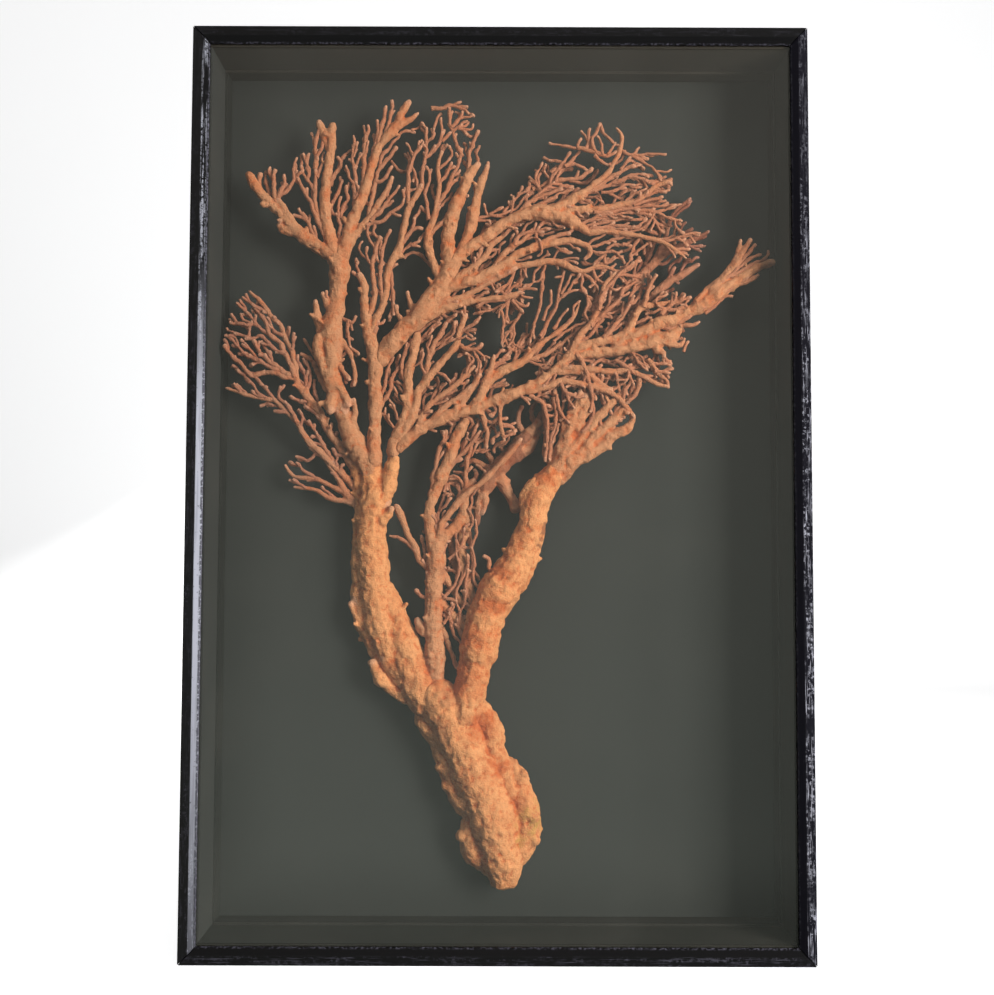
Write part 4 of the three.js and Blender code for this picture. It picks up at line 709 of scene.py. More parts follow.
"middle_fan": """
1 2:-47 470 5 -37 480 4.4 -28 483 4.2 -17 486 4 -4 492 3.8 10 502 3.4 20 507 3.2 30 511 3 40 513 2.8 50 515 2.4 60 513
2.2 66 510 1.8 67 505 1.6 63 501 1.1;2 3:-12 488 3.2 3 494 2.8 14 496 2.4 23 497 2.4 33 499 2.5 43 499 2.5 50 496 2.3
56 493 2.1 63 492 1.8 73 496 1.5 83 494 1.4 88 490 1.1;1 1:-33 484 3 -19 495 2.6 -10 504 2.2 -6 512 2 0 516 1.9 5 520
1.6;2 3:-54 458 4 -45 462 3.4 -36 465 3 -22 469 2.6 -7 471 2.3 8 473 2 16 476 1.6;6 9 1.7:33 500 32 486 31 472 29 462
26 452 23 438;2 1 2.3:-20 486 -16 500 -13 510;2 2 2.4:-2 497 8 510 16 514 21 519 28 522;1 1 1.9:11 511 14 518 20 521
33 521;1 1 2.2:30 513 43 518 53 521;1 1 1.5:28 512 27 520 30 526;2 2 2.6:-46 467 -29 472 -18 477 -10 482 0 487 12
494;3 3 1.7:-17 465 -7 470 0 470 10 472 16 477;3 3 1.5:7 470 0 462;3 3 1.5:9 470 16 463 18 461;3 3 1.4:12 469 20 465
22 468;4 5 1.6:0 463 3 457 3 446 2 437;4 5 1.4:6 469 5 459 3 452;5 5 1.4:16 460 11 453 6 445 2 436;3 4 1.3:16 494 16
488 16 480 19 478;3 4 1.4:19 495 18 488 13 482 8 478 6 473;3 4 1.5:11 494 9 486 7 479 3 474;4 4 1.2:30 496 25 488 25
484 21 480;4 4 1.2:34 496 30 485 25 484;3 3 1.4:14 478 21 479 28 478;3 3 1.3:16 478 17 473 25 472;4 4 1.3:12 474 20
479;5 6 1.5:30 443 36 454 42 466 45 477 47 489 48 493;5 5 1.1:46 488 41 487;5 5 1.3:44 470 51 476 59 478;5 5 1.3:46
474 51 484 53 489;5 5 1.2:51 477 57 487;6 6 1.4:32 455 35 462 38 469 38 478;6 6 1.3:40 448 46 458 51 464;6 6 1.4:44
444 49 452 54 457 55 465 60 470;6 6 1.3:40 439 48 446 56 451 63 453;4 4 1.4:62 490 61 480 65 473 65 466 63 460 67
453;4 4 1.5:77 479 73 470 69 459 67 451;4 4 1.8:76 457 72 451 67 444 60 440 56 434 50 429;4 4 1.4:80 454 83 443;4 4
1.5:63 490 69 485 73 478;3 3 1.5:69 494 72 486 79 482 82 478;3 3 1.1:72 487 77 491;3 3 1.3:88 491 86 487 83 480 81
475;2 2 1.3:66 507 76 506 83 507 88 505 92 500;2 2 1.3:66 509 76 513 83 515 95 519;2 2 1.1:79 508 85 512 91 512 99
511;2 2 1.4:79 505 72 500 69 496;2 2 1.4:78 503 79 498 86 502;2 2 1.3:65 510 69 515 75 518 80 521;2 2 1.3:104 517 97
505 96 500 90 491;2 2 1.2:110 513 101 506 96 503;2 2 1.4:104 503 99 496 90 490 84 486;3 3 1.3:70 494 83 494 88 489 92
484;3 3 1.3:72 494 79 499 86 502 92 503""",
"inner_lower_limb": """
4 3:-78 355 4.6 -77 363 4.4 -73 374 4 -68 388 3.6 -67 403 3.3 -67 414 3.2 -64 426 3.2 -62 437 3.2 -60 444 2.8;3 3:-74
366 3.8 -66 378 3.6 -62 390 3.2 -60 400 3 -57 406 3 -51 414 2.8 -44 422 2.6 -36 431 2.6 -31 438 2.6 -29 448 2.4 -25
459 2.1;3 3 2.4:-57 405 -54 415 -50 433 -44 444 -39 453;3 2 2:-31 438 -24 434 -17 433 -12 438;3 2 1.4:-19 433 -15 424
-17 417;4 3 2:-67 405 -72 417 -70 429 -64 441;3 1 1.6:-48 418 -41 414 -36 409;2 0 1.6:-27 447 -20 452 -14 458""",
"lower_right_fan": """
3 2:-73 360 4 -66 368 4.4 -55 376 4.3 -44 381 4.2 -33 385 4 -22 388 4 -14 390 4 -7 394 4 4 398 4.2 15 402 4.2 24 406
3.8 32 411 3.4 41 418 3.2 50 427 3.4 60 435 3.2 71 439 3 82 441 3 90 443 3 97 451 3 101 460 2.8 108 466 2.4 123 468 2
134 471 1.8 137 475 1.2;3 2:50 427 3.4 67 430 3.4 86 433 3.8 97 435 4.2 108 438 4.8 118 441 5.2 127 443 4.8 132 448
3.4;2 1:86 437 2.5 97 443 3 108 448 4 118 453 4.5 130 456 4 138 459 3.4;1 0 2.2:107 465 109 474 112 482 116 490;2 2:52
429 2.6 60 444 2.3 67 452 2.1 73 463 2 78 481 1.8 86 491 1.2;1 1 1.8:73 462 77 476 88 489 100 499;2 2 1.9:67 451 76
459 84 467 90 473;1 1 2:76 440 84 450 92 460 97 468;2 8:-20 388 3.4 -13 399 3.6 -7 410 3.6 4 418 3.4 16 424 3 23 430
2.6 30 437 2.4 38 443 2 51 453 1.7 57 462 1.4 59 470 1;2 1:-13 400 3 -9 412 2.4 -5 422 2 -4 429 1.4;3 2:-33 386 2.8
-24 398 2.2 -18 408 2 -14 415 1.6;2 2:-50 379 2.6 -40 391 2.2 -29 398 2 -21 406 1.7;2 1:-60 374 2.6 -56 384 2.2 -51
392 2.1 -44 398 2 -33 406 1.9 -25 414 1.7 -18 421 1.2;6 8 2.2:16 424 29 428 41 434 52 442 62 452;7 9 1.9:30 437 34 450
41 464 47 476;2 3:2 397 2.6 1 388 1.8 1 379 1.6 4 366 1.3;3 4 2.4:-14 389 -11 380 -9 370 -9 360;0 0:118 441 3 127 438
2.6 134 437 1.8 137 442 1.1;1 0:116 434 3 121 431 2 122 428 1.4;2 2:41 417 2.6 50 417 2.3 64 416 2.1 76 407 1.9 83 404
1.6;1 1:21 402 2.8 36 406 2.5 46 410 2.4 60 408 2.3 75 404 2.2 86 399 2 93 392 2 99 384 1.8;1 1:48 420 2.5 68 419 2.3
83 417 2.2 96 418 2 109 412 1.8 117 408 1.6 125 406 1.2;0 0 1.7:86 426 99 417 111 411;1 1 2.1:110 427 117 417 123 411
125 405;0 0 1.4:113 424 124 423;0 0 1.7:115 418 125 417;1 1 1.7:97 410 92 401 91 394;0 0 2:104 410 101 401 94 393;0 0
1.6:95 418 99 407;0 0 2:57 431 63 420 67 408 69 398 67 387;0 0 1.5:45 408 50 401 57 398 64 398;0 0 1.3:50 400 52 394
56 389;1 1 1.6:42 400 45 387 52 379;0 0 1.4:14 401 18 398 23 392;1 3 1.8:22 400 32 394 34 388 36 375 35 363 34 351;2 4
1.8:40 398 42 388 41 376 38 365 37 351;2 3 1.3:44 378 39 364;0 0 1.9:120 460 127 467 136 471 142 473;0 0 1.4:130 469
131 477;0 0 1.3:133 470 137 475;0 0 2.2:118 451 134 455 145 461;0 0 2:133 451 142 452 148 455;-1 -1 1.4:136 432 140
440;0 0 2.4:130 462 140 462;1 1 1.8:116 454 124 449 131 452;0 0 1.6:108 446 116 441 124 444""",
"far_right_finger": """
1 -1:136 460 3.6 143 463 4.4 151 467 4.8 158 473 5.2 166 479 4.8 175 484 4.4 184 491 3.6 193 496 3 202 499 2.6;0 0:146
470 2.6 153 478 2.3 163 486 2.1 170 494 2 175 503 1.8 179 515 1.5;-1 -1:157 478 2.6 168 488 2.6 176 498 2.3 180 506 2
186 516 1.7;-1 -1 1.9:172 494 183 504 190 513;-2 -2 1.7:164 483 177 495 187 502 194 505;-2 -2 1.7:171 488 187 497 198
503 199 508;-1 -1 2.2:171 481 184 485 192 490;0 0 1.6:152 461 163 470 168 474 173 473;-2 -2 1.8:150 464 160 472 172
480 184 488;0 0 2:146 462 136 465 129 463 121 464""",
"right_plate": """
8 4:38 337 7.5 43 345 7.4 47 351 6.6 49 362 4.8 50 372 4 54 381 3.6 58 390 4 63 396 4;7 3:50 352 6 56 362 4.6 63 372
3.8 71 381 3.4 80 391 3 91 402 2.2;6 3:52 350 6.4 62 357 5 68 366 4 77 375 3.8 87 384 3.4 94 391 2.4;8 3:42 338 6.5 50
347 6.4 56 352 6 66 356 5 77 363 4.4 85 371 4 94 375 3.6 98 381 2.8 98 385 2;7 4:43 349 5 45 357 4.6 47 368 3.6 48 378
3 44 387 2.5 42 396 2.1 41 403 1.6;5 4:56 375 4 60 384 4.6 66 392 4.4 64 400 2.6;2 2 2.2:91 392 96 397 101 401 103 409
104 413;2 2 2:90 393 90.5 401 96 408;5 3:50 368 5 55 384 4 58 395 3 60 403 1.8;8 8:38 350 3.4 34 356 2.8 35 365 2.6
35.5 375 2.5 34 386 2.2 33 395 1.8;8 7 2.4:39 353 39 364 41.5 373 44 379;3 3 1.8:62 372 68 380 69 390 66 398;3 3
1.6:76 375 74 384 78 392 76 400;3 3 1.5:86 378 84 386 90 392""",
"rear_limb": """
15 14:13 316 4.4 8 325 4 3 334 4.2 -2 341 6 -6 338 6.2 -10 331 5.6 -13 323 4.4 -15 314 3 -16 304 1.6;14 17:-3 342 6 4
350 6.4 12 360 5.5 20 368 5 27 376 4.4 33 385 3.6 38 394 2.4;15 18:6 351 4 18 358 4 25 365 3.6 30 374 3 32 382 2;12
12:-10 324 3 -10 318 2.4 -12 312 1.6;13 14:-8 345 3 -19 351 2 -28 347 1.4;13 12 2.4:-2 345 -8 356 -10 363 -8 374;16 17
2.4:20 368 14 380 17 392;17 17 2.4:27 376 24 386 29 397""",
"rear_right_fan": """
9 15:58 444 2.4 68 452 3.2 79 464 3.6 88 474 3.6 97 484 3.6 107 491 3.4 116 500 3 127 508 2.6 142 515 2.1 155 522
1.3;14 15:116 500 2.6 123 518 1.7 129 535 1.5 142 547 1.1;13 16:88 463 3 99 464 3 111 471 3 123 482 3.2 134 489 2.8
147 497 2;12 13:80 462 3 88 463 3 94 464 2.8;15 16 2.4:122 481 126 488 130 495;15 16 2.4:107 491 112 506 119 521 121
534;13 14 2.4:68 452 70 466 72 480 76 491""",
}
FAN = {name: [limb_of(row) for row in rows.split(";")] for name, rows in FAN_ROWS.items()}

# Places that stay open between the twigs: left, right, bottom and top of each oval.
OPEN_PLACES = (
    (-80, -54, 463, 500), (-48, -39, 485, 497), (-17, 2, 428, 461), (-48, -30, 411, 433),
    (-48, -29, 382, 390), (4, 27, 407, 421), (-75, -45, 303, 377), (-84, -67, 268, 292),
    (-62, -54, 255, 263), (-64, -53, 236, 252), (-68, -53, 210, 234), (-17, 10, 275, 330),
    (-38, -26, 200, 228), (-114, -104, 459, 484), (-116, -102, 377, 405),
    (-92, -76, 543, 562), (1, 33, 381, 396),
)


# ---- geometry tools ----


def linked(name: str, mesh: Mesh) -> Object:
    """Puts a mesh in the scene.

    Args:
        name: the object's name, also given to the mesh.
        mesh: its mesh.

    Returns:
        The object, at the origin.
    """
    mesh.name = name
    thing = bpy.data.objects.new(name, mesh)
    bpy.context.scene.collection.objects.link(thing)
    return thing


def settle(thing: Object) -> None:
    """Turns an object's modifiers into plain mesh and takes them off.

    Args:
        thing: the object.
    """
    graph = bpy.context.evaluated_depsgraph_get()
    shape = thing.evaluated_get(graph)
    plain = bpy.data.meshes.new_from_object(shape, preserve_all_data_layers=True, depsgraph=graph)
    rough = thing.data
    thing.modifiers.clear()
    thing.data = plain
    bpy.data.meshes.remove(rough)
    plain.name = thing.name


def places_of(mesh: Mesh) -> np.ndarray:
    """A mesh's points as rows of three numbers."""
    flat = np.empty(len(mesh.vertices) * 3)
    mesh.vertices.foreach_get("co", flat)
    return flat.reshape(-1, 3)


def store(mesh: Mesh, name: str, values: np.ndarray) -> None:
    """Stores a number or a vector at each point of a mesh.

    Args:
        mesh: the mesh.
        name: the attribute's name.
        values: one row for each point.
    """
    kind, key = ("FLOAT", "value") if values.ndim == 1 else ("FLOAT_VECTOR", "vector")
    layer = mesh.attributes.new(name, kind, "POINT")
    layer.data.foreach_set(key, np.ascontiguousarray(values, dtype=np.float32).ravel())


class GeometryTool:
    """A Geometry Nodes tree with named sizes, whose result is kept as a plain mesh."""

    name = "tool"
    sizes: dict[str, float] = {}

    def __init__(self) -> None:
        """Builds the tree once; it can then shape any number of pieces."""
        self.tree = bpy.data.node_groups.new(self.name, "GeometryNodeTree")
        face = self.tree.interface
        face.new_socket("Geometry", in_out="INPUT", socket_type="NodeSocketGeometry")
        for label, value in self.sizes.items():
            kind = "NodeSocketInt" if isinstance(value, int) else "NodeSocketFloat"
            face.new_socket(label, in_out="INPUT", socket_type=kind).default_value = value
        face.new_socket("Finish", in_out="INPUT", socket_type="NodeSocketMaterial")
        face.new_socket("Geometry", in_out="OUTPUT", socket_type="NodeSocketGeometry")
        bench = NodeBench(self.tree)
        given = bench.add("NodeGroupInput").outputs
        smooth = bench.add("GeometryNodeSetShadeSmooth", None, {"Geometry": self.shaped(bench, given)})
        real = bench.add("GeometryNodeRealizeInstances", None, {"Geometry": smooth.outputs[0]})
        painted = bench.add("GeometryNodeSetMaterial", None,
                            {"Geometry": real.outputs[0], "Material": given["Finish"]})
        bench.add("NodeGroupOutput", None, {"Geometry": painted.outputs[0]})

    def shaped(self, bench: NodeBench, given: Any) -> NodeSocket:
        """Adds the nodes that shape the geometry.

        Args:
            bench: the tree's bench.
            given: the tree's inputs by name.

        Returns:
            The shaped geometry.
        """
        raise NotImplementedError

    def shape(self, thing: Object, finish: Material) -> None:
        """Runs the tree on an object and keeps the result as its mesh.

        Args:
            thing: the object.
            finish: the material that it gets.
        """
        modifier = thing.modifiers.new(self.name, "NODES")
        modifier.node_group = self.tree
        for item in self.tree.interface.items_tree:
            if item.name == "Finish":
                modifier[item.identifier] = finish
        settle(thing)

    @staticmethod
    def stored(bench: NodeBench, name: str, kind: str = "FLOAT") -> Signal:
        """Reads an attribute that the mesh brought along."""
        return bench.signal("GeometryNodeInputNamedAttribute", "Attribute", {"data_type": kind}, {"Name": name})


class TwigSweep(GeometryTool):
    """Sweeps a knotty round section along the middle lines of ribs and twigs."""

    name = "twig sweep"
    sizes = {"Sides": 7, "Ring spacing": 1.4 * MM, "Wander": 0.8 * MM, "Wander length": 7.0 * MM,
             "Knots": 0.34, "Knot length": 3.0 * MM}

    def shaped(self, bench: NodeBench, given: Any) -> NodeSocket:
        """Adds the nodes that turn the lines into twigs.

        Args:
            bench: the tree's bench.
            given: the tree's inputs by name.

        Returns:
            The twigs.
        """
        size = {label: Signal(bench, given[label]) for label in self.sizes}
        lines = bench.add("GeometryNodeMeshToCurve", None, {"Mesh": given["Geometry"]})
        rings = bench.add("GeometryNodeResampleCurve", {"mode": "LENGTH"},
                          {"Curve": lines.outputs[0], "Length": size["Ring spacing"]})
        place = bench.add("GeometryNodeInputPosition").outputs[0]
        drift = bench.add("ShaderNodeTexNoise", None,
                          {"Vector": place, "Scale": 1.0 / size["Wander length"], "Detail": 1.5})
        centred = bench.vector("SUBTRACT", {0: drift.outputs["Color"], 1: (0.5, 0.5, 0.5)})
        offset = bench.vector("SCALE", {0: centred, "Scale": size["Wander"] * 4.0})
        bent = bench.add("GeometryNodeSetPosition", None, {"Geometry": rings.outputs[0], "Offset": offset})
        knots = bench.noise(place, size["Knot length"], 1.0)
        girth = self.stored(bench, "girth") * (1.0 + (knots - 0.5) * size["Knots"] * 4.0)
        round_section = bench.add("GeometryNodeCurvePrimitiveCircle", None,
                                  {"Resolution": size["Sides"], "Radius": 1.0})
        swept = bench.add("GeometryNodeCurveToMesh", None,
                          {"Curve": bent.outputs[0], "Profile Curve": round_section.outputs[0],
                           "Scale": girth, "Fill Caps": True})
        return swept.outputs[0]


class CrustRelief(GeometryTool):
    """Raises lumps, lengthwise ridges and grain on a stout limb and marks its hollows."""

    name = "crust relief"
    sizes = {"Lump height": 1.7 * MM, "Lump size": 12.0 * MM, "Knob height": 1.7 * MM,
             "Knob size": 5.0 * MM, "Ridge height": 0.12 * MM, "Ridge width": 5.0 * MM,
             "Grain height": 0.55 * MM, "Grain size": 2.1 * MM, "Stout girth": 3.8 * MM,
             "Hollow reach": 10, "Hollow depth": 0.6 * MM}

    def shaped(self, bench: NodeBench, given: Any) -> NodeSocket:
        """Adds the nodes that give the crust its relief.

        Args:
            bench: the tree's bench.
            given: the tree's inputs by name.

        Returns:
            The crusted limb.
        """
        size = {label: Signal(bench, given[label]) for label in self.sizes}
        place = bench.add("GeometryNodeInputPosition").outputs[0]
        outwards = bench.add("GeometryNodeInputNormal").outputs[0]
        stout = (self.stored(bench, "girth") / size["Stout girth"]).least(1.0)
        lumps = bench.noise(place, size["Lump size"], 2.5)
        knobs = bench.noise(place, size["Knob size"])
        grain = bench.noise(place, size["Grain size"])
        furrow = bench.signal("ShaderNodeTexNoise", "Fac", {"noise_dimensions": "4D"},
                              {"Vector": self.stored(bench, "radial", "FLOAT_VECTOR"),
                               "W": self.stored(bench, "along") * 0.2,
                               "Scale": 1.0 / size["Ridge width"], "Detail": 1.5})
        ridge = 0.5 - abs(furrow * 2.0 - 1.0) * 2.2
        height = (((lumps - 0.5) * 2.0 * size["Lump height"] + ridge * size["Ridge height"]
                   + (knobs - 0.5) * 2.0 * size["Knob height"]) * stout
                  + (grain - 0.5) * 2.0 * size["Grain height"])
        offset = bench.vector("SCALE", {0: outwards, "Scale": height})
        raised = bench.add("GeometryNodeSetPosition", None, {"Geometry": given["Geometry"], "Offset": offset})
        even = bench.add("GeometryNodeBlurAttribute", {"data_type": "FLOAT_VECTOR"},
                         {"Iterations": size["Hollow reach"]})
        bench.feed(next(s for s in even.inputs if s.enabled and s.name == "Value"), place)
        towards = bench.vector("SUBTRACT", {0: next(s for s in even.outputs if s.enabled), 1: place})
        sunk = bench.signal("ShaderNodeVectorMath", "Value", {"operation": "DOT_PRODUCT"}, {0: towards, 1: outwards})
        hollow = (sunk / size["Hollow depth"]).clamped()
        kept = bench.add("GeometryNodeStoreNamedAttribute", None,
                         {"Geometry": raised.outputs[0], "Name": "hollow", "Value": hollow})
        return kept.outputs[0]


# ---- twig growth ----


def ahead_of(x: float, z: float, angle: float, reach: float) -> tuple[float, float]:
    """The point of the flat plan that lies ahead in a direction."""
    return x + math.cos(angle) * reach, z + math.sin(angle) * reach


@dataclass(frozen=True)
class TwigLayer:
    """One layer of fine twigs: which parts bear it, its outline and how it grows."""

    parts: tuple[str, ...]
    outline: tuple[tuple[float, float], ...]
    spacing: float
    shift: float
    spread: float
    seed: int
    turn: float = 24.0
    flow: float = 1.1
    clear: float = 1.4
    longest: float = 75.0
    stout: float = 1.15
    bare: tuple[tuple[float, float, float, float], ...] = ()


class Chart:
    """The flat plan in small squares: room left beside ribs or twigs, and the rib nearest by."""

    cell = 0.8
    low = (-216.0, 40.0)
    count = (540, 760)

    def __init__(self) -> None:
        """Starts with room everywhere and no rib near."""
        self.room = np.full(self.count, 30.0)
        self.near = np.full(self.count, -1)

    def at(self, x: float, z: float) -> tuple[int, int]:
        """The square that a point lies in."""
        return int((x - self.low[0]) / self.cell), int((z - self.low[1]) / self.cell)

    def stamp(self, x: float, z: float, radius: float, reach: float, index: int = -1) -> None:
        """Takes up room round a point.

        Args:
            x: the point, across.
            z: its height.
            radius: how much of the room it fills.
            reach: how far round it the chart is updated.
            index: the rib sample that the point belongs to.
        """
        i, j = self.at(x, z)
        n = int((reach + radius) / self.cell) + 1
        i0, j0 = max(i - n, 0), max(j - n, 0)
        part = (slice(i0, i + n + 1), slice(j0, j + n + 1))
        room = self.room[part]
        across = (np.arange(room.shape[0]) + i0 + 0.5) * self.cell + self.low[0] - x
        height = (np.arange(room.shape[1]) + j0 + 0.5) * self.cell + self.low[1] - z
        gap = np.sqrt(across[:, None] ** 2 + height[None, :] ** 2) - radius
        closer = gap < room
        room[closer] = gap[closer]
        self.near[part][closer] = index


@dataclass
class Shoot:
    """A growing twig: the points behind it, its heading, and what is left for it to grow."""

    places: list[tuple[float, float]]
    depths: list[float]
    angle: float
    rib: int
    left: float
    whim: float
    order: int = 0
    forked: int = 0

    @property
    def age(self) -> int:
        """Steps since it sprang."""
        return len(self.places) - 1


@dataclass
class TwigGrowth:
    """Grows twigs out of the ribs into the bare places between them.

    Every shoot looks a little ahead in a few directions and takes the one with the most room
    that also runs with the nearest rib. It forks where both sides are bare and stops where
    there is no room. Later passes start side shoots wherever a bare place is left.
    """

    layer: TwigLayer
    ribs: list[tuple[str, LimbLine]]
    rib_chart: Chart
    step: float = 1.8
    look: float = 3.0
    turns: tuple[int, ...] = (0, 12, -12, 25, -25, 38, -38)
    passes: int = 3
    drift: float = 1.3
    climb: float = 0.8

    def __post_init__(self) -> None:
        """Draws the chart of where twigs may go and takes the ribs' samples."""
        self.rng = np.random.default_rng(self.layer.seed)
        self.twig_chart = Chart()
        self.allowed = self._inside()
        self.place = np.vstack([line.plane for _, line in self.ribs])
        heading = np.vstack([line.heading for _, line in self.ribs])
        self.angle = np.arctan2(heading[:, 1], heading[:, 0])
        self.radius = np.concatenate([line.radius for _, line in self.ribs])
        self.depth = np.concatenate([line.depth for _, line in self.ribs])
        self.part = np.concatenate([[name] * len(line.radius) for name, line in self.ribs])
        self.along = np.concatenate([line.along for _, line in self.ribs])
        self.done: list[Shoot] = []

    def grow(self) -> list[tuple[str, LimbLine]]:
        """Grows the layer.

        Returns:
            Each twig's part of the fan and its line.
        """
        shoots = self._buds(7)
        for number in range(self.passes):
            self._run(shoots)
            shoots = self._side_shoots() + (self._buds(4) if number == 0 else [])
            self.rng.shuffle(shoots)
        twigs = []
        for shoot in self.done:
            if shoot.age < 2:
                continue
            plane = np.array(shoot.places)
            left = np.arange(len(plane))[::-1] * self.step
            stout = self.layer.stout * (1.0, 0.92, 0.84)[min(shoot.order, 2)]
            radius = stout * (1.0 + 0.45 * np.minimum(left / 45.0, 1.0) * (shoot.order == 0))
            radius[-2:] *= self.rng.uniform(0.95, 1.2)
            twigs.append((str(self.part[shoot.rib]), LimbLine(plane, np.array(shoot.depths), radius)))
        return twigs

    def _inside(self) -> np.ndarray:
        """Finds where the layer may grow.

        Returns:
            Which squares of the chart lie inside the outline and in no open place.
        """
        across, height = np.meshgrid(*((np.arange(n) + 0.5) * Chart.cell + low
                                       for n, low in zip(Chart.count, Chart.low)), indexing="ij")
        inside = np.zeros(Chart.count, dtype=bool)
        corners = np.array(self.layer.outline, dtype=float)
        for start, end in zip(corners, np.roll(corners, -1, axis=0)):
            rise = end[1] - start[1] if end[1] != start[1] else 1e-9
            crossing = start[0] + (height - start[1]) * (end[0] - start[0]) / rise
            inside ^= ((start[1] > height) != (end[1] > height)) & (across < crossing)
        for left, right, low, high in OPEN_PLACES + self.layer.bare:
            inside &= (((across - (left + right) / 2) / ((right - left) / 2)) ** 2
                       + ((height - (low + high) / 2) / ((high - low) / 2)) ** 2) > 1.0
        return inside

    def _buds(self, pitch: int) -> list[Shoot]:
        """Starts shoots on both sides of the ribs.

        Args:
            pitch: how many rib samples lie between buds.

        Returns:
            The shoots.
        """
        shoots = []
        bearing = np.flatnonzero(np.isin(self.part, self.layer.parts) & (self.along > 4.0))
        for index in bearing:
            for side in (1, -1):
                if self.rng.random() > 1.0 / pitch:
                    continue
                angle = self.angle[index] + side * math.radians(self.layer.turn * self.rng.uniform(0.55, 1.6))
                x, z = self.place[index]
                ahead = self.radius[index] + self.layer.spacing * 0.8
                if (self._room(x, z, angle, ahead) < self.layer.spacing * 0.7
                        or not self._inside_at(*ahead_of(x, z, angle, ahead))):
                    continue
                shoots.append(Shoot([(x, z)], [self.depth[index]], angle, int(index), self._reach(),
                                    self.rng.uniform(-1.0, 1.0)))
        self.rng.shuffle(shoots)
        return shoots

    def _reach(self) -> float:
        """How long a new twig may get, in millimetres."""
        return self.layer.longest * self.rng.uniform(0.2, 1.0)

    def _room(self, x: float, z: float, angle: float, ahead: float) -> float:
        """Room beside other twigs at a spot that lies ahead in a direction."""
        return float(self.twig_chart.room[self.twig_chart.at(*ahead_of(x, z, angle, ahead))])

    def _inside_at(self, x: float, z: float) -> bool:
        """Whether a point is where the layer may grow."""
        return bool(self.allowed[self.twig_chart.at(x, z)])

    def _advance(self, shoot: Shoot) -> bool:
        """Grows a shoot by one step.

        Args:
            shoot: the shoot.

        Returns:
            Whether it could grow.
        """
        x, z = shoot.places[-1]
        spacing = self.layer.spacing
        best, chosen = -math.inf, 0.0
        for degrees in self.turns:
            angle = shoot.angle + math.radians(degrees)
            room = self._room(x, z, angle, self.look)
            beside = self.rib_chart.at(*ahead_of(x, z, angle, self.look))
            clear = float(self.rib_chart.room[beside])
            if room < spacing * 0.55 or (shoot.age > 3 and clear < self.layer.clear):
                continue
            index = int(self.rib_chart.near[beside])
            off = abs(math.remainder(angle - self.angle[index], math.tau)) if index >= 0 else 0.0
            score = (min(room, spacing * 1.3) / spacing + min(clear, 3.0) / 9.0 - abs(degrees) / 75.0
                     - off * self.layer.flow * 0.45 + self.rng.normal(0.0, 0.10))
            if score > best:
                best, chosen = score, angle
        if best == -math.inf:
            return False
        shoot.angle = chosen + self.rng.normal(0.0, 0.06)
        x, z = ahead_of(x, z, shoot.angle, self.step)
        if not self._inside_at(x, z):
            return False
        index = int(self.rib_chart.near[self.rib_chart.at(x, z)])
        shoot.whim = min(max(shoot.whim + self.rng.normal(0.0, 0.12), -self.drift), self.drift)
        base = self.depth[index] if index >= 0 else shoot.depths[-1]
        wanted = base + self.layer.shift + shoot.whim * self.layer.spread
        shoot.places.append((x, z))
        shoot.depths.append(shoot.depths[-1] + min(max(wanted - shoot.depths[-1], -self.climb), self.climb))
        shoot.left -= self.step
        return shoot.left > 0.0

    def _fork(self, shoot: Shoot) -> list[Shoot]:
        """Splits a shoot where both sides are bare.

        Args:
            shoot: the shoot.

        Returns:
            The new branch, or nothing.
        """
        if shoot.age - shoot.forked < 4 or self.rng.random() < 0.55:
            return []
        x, z = shoot.places[-1]
        side = self.rng.choice([-1.0, 1.0])
        for way in (side, -side):
            if self._room(x, z, shoot.angle + way * 0.66, self.layer.spacing) > self.layer.spacing * 0.75:
                shoot.forked = shoot.age
                branch = Shoot([(x, z)], [shoot.depths[-1]], shoot.angle + way * self.rng.uniform(0.3, 0.6),
                               shoot.rib, max(shoot.left * self.rng.uniform(0.3, 1.0), 8.0),
                               shoot.whim + way * 0.5, shoot.order + 1)
                shoot.angle -= way * 0.14
                return [branch]
        return []

    def _run(self, shoots: list[Shoot]) -> None:
        """Grows all shoots side by side until the last one stops.

        Args:
            shoots: the shoots to grow.
        """
        while shoots:
            growing = []
            for shoot in shoots:
                if self._advance(shoot):
                    growing.append(shoot)
                    growing += self._fork(shoot)
                    if shoot.age >= 3:
                        self._take_room(shoot.places[-4:-3])
                else:
                    self.done.append(shoot)
                    self._take_room(shoot.places[-3:] if shoot.age > 0 else [])
            shoots = growing

    def _take_room(self, places: list[tuple[float, float]]) -> None:
        """Marks twig points on the chart."""
        for x, z in places:
            self.twig_chart.stamp(x, z, 0.0, 8.0)

    def _side_shoots(self) -> list[Shoot]:
        """Starts shoots on finished twigs beside bare places.

        Returns:
            The shoots.
        """
        shoots = []
        for twig in self.done:
            for number in range(2 + twig.rib % 3, twig.age, 4):
                (x0, z0), (x, z) = twig.places[number - 1:number + 1]
                run = math.atan2(z - z0, x - x0)
                for way in (0.6, -0.6):
                    ahead = self.layer.spacing
                    if (min(self._room(x, z, run + way, ahead), self._room(x, z, run + way, ahead * 1.3)) > ahead * 0.72
                            and self._inside_at(*ahead_of(x, z, run + way, ahead))):
                        shoots.append(Shoot([(x, z)], [twig.depths[number]], run + way * 0.8, twig.rib,
                                            self._reach() * 0.6, self.rng.uniform(-1.0, 1.0), twig.order + 1))
        return shoots


def rib_chart(ribs: list[tuple[str, LimbLine]]) -> Chart:
    """Draws the ribs on a chart.

    Args:
        ribs: each rib's part of the fan and its line.

    Returns:
        The chart.
    """
    chart = Chart()
    index = 0
    for _, line in ribs:
        for (x, z), radius in zip(line.plane, line.radius):
            chart.stamp(x, z, radius, 20.0, index)
            index += 1
    return chart


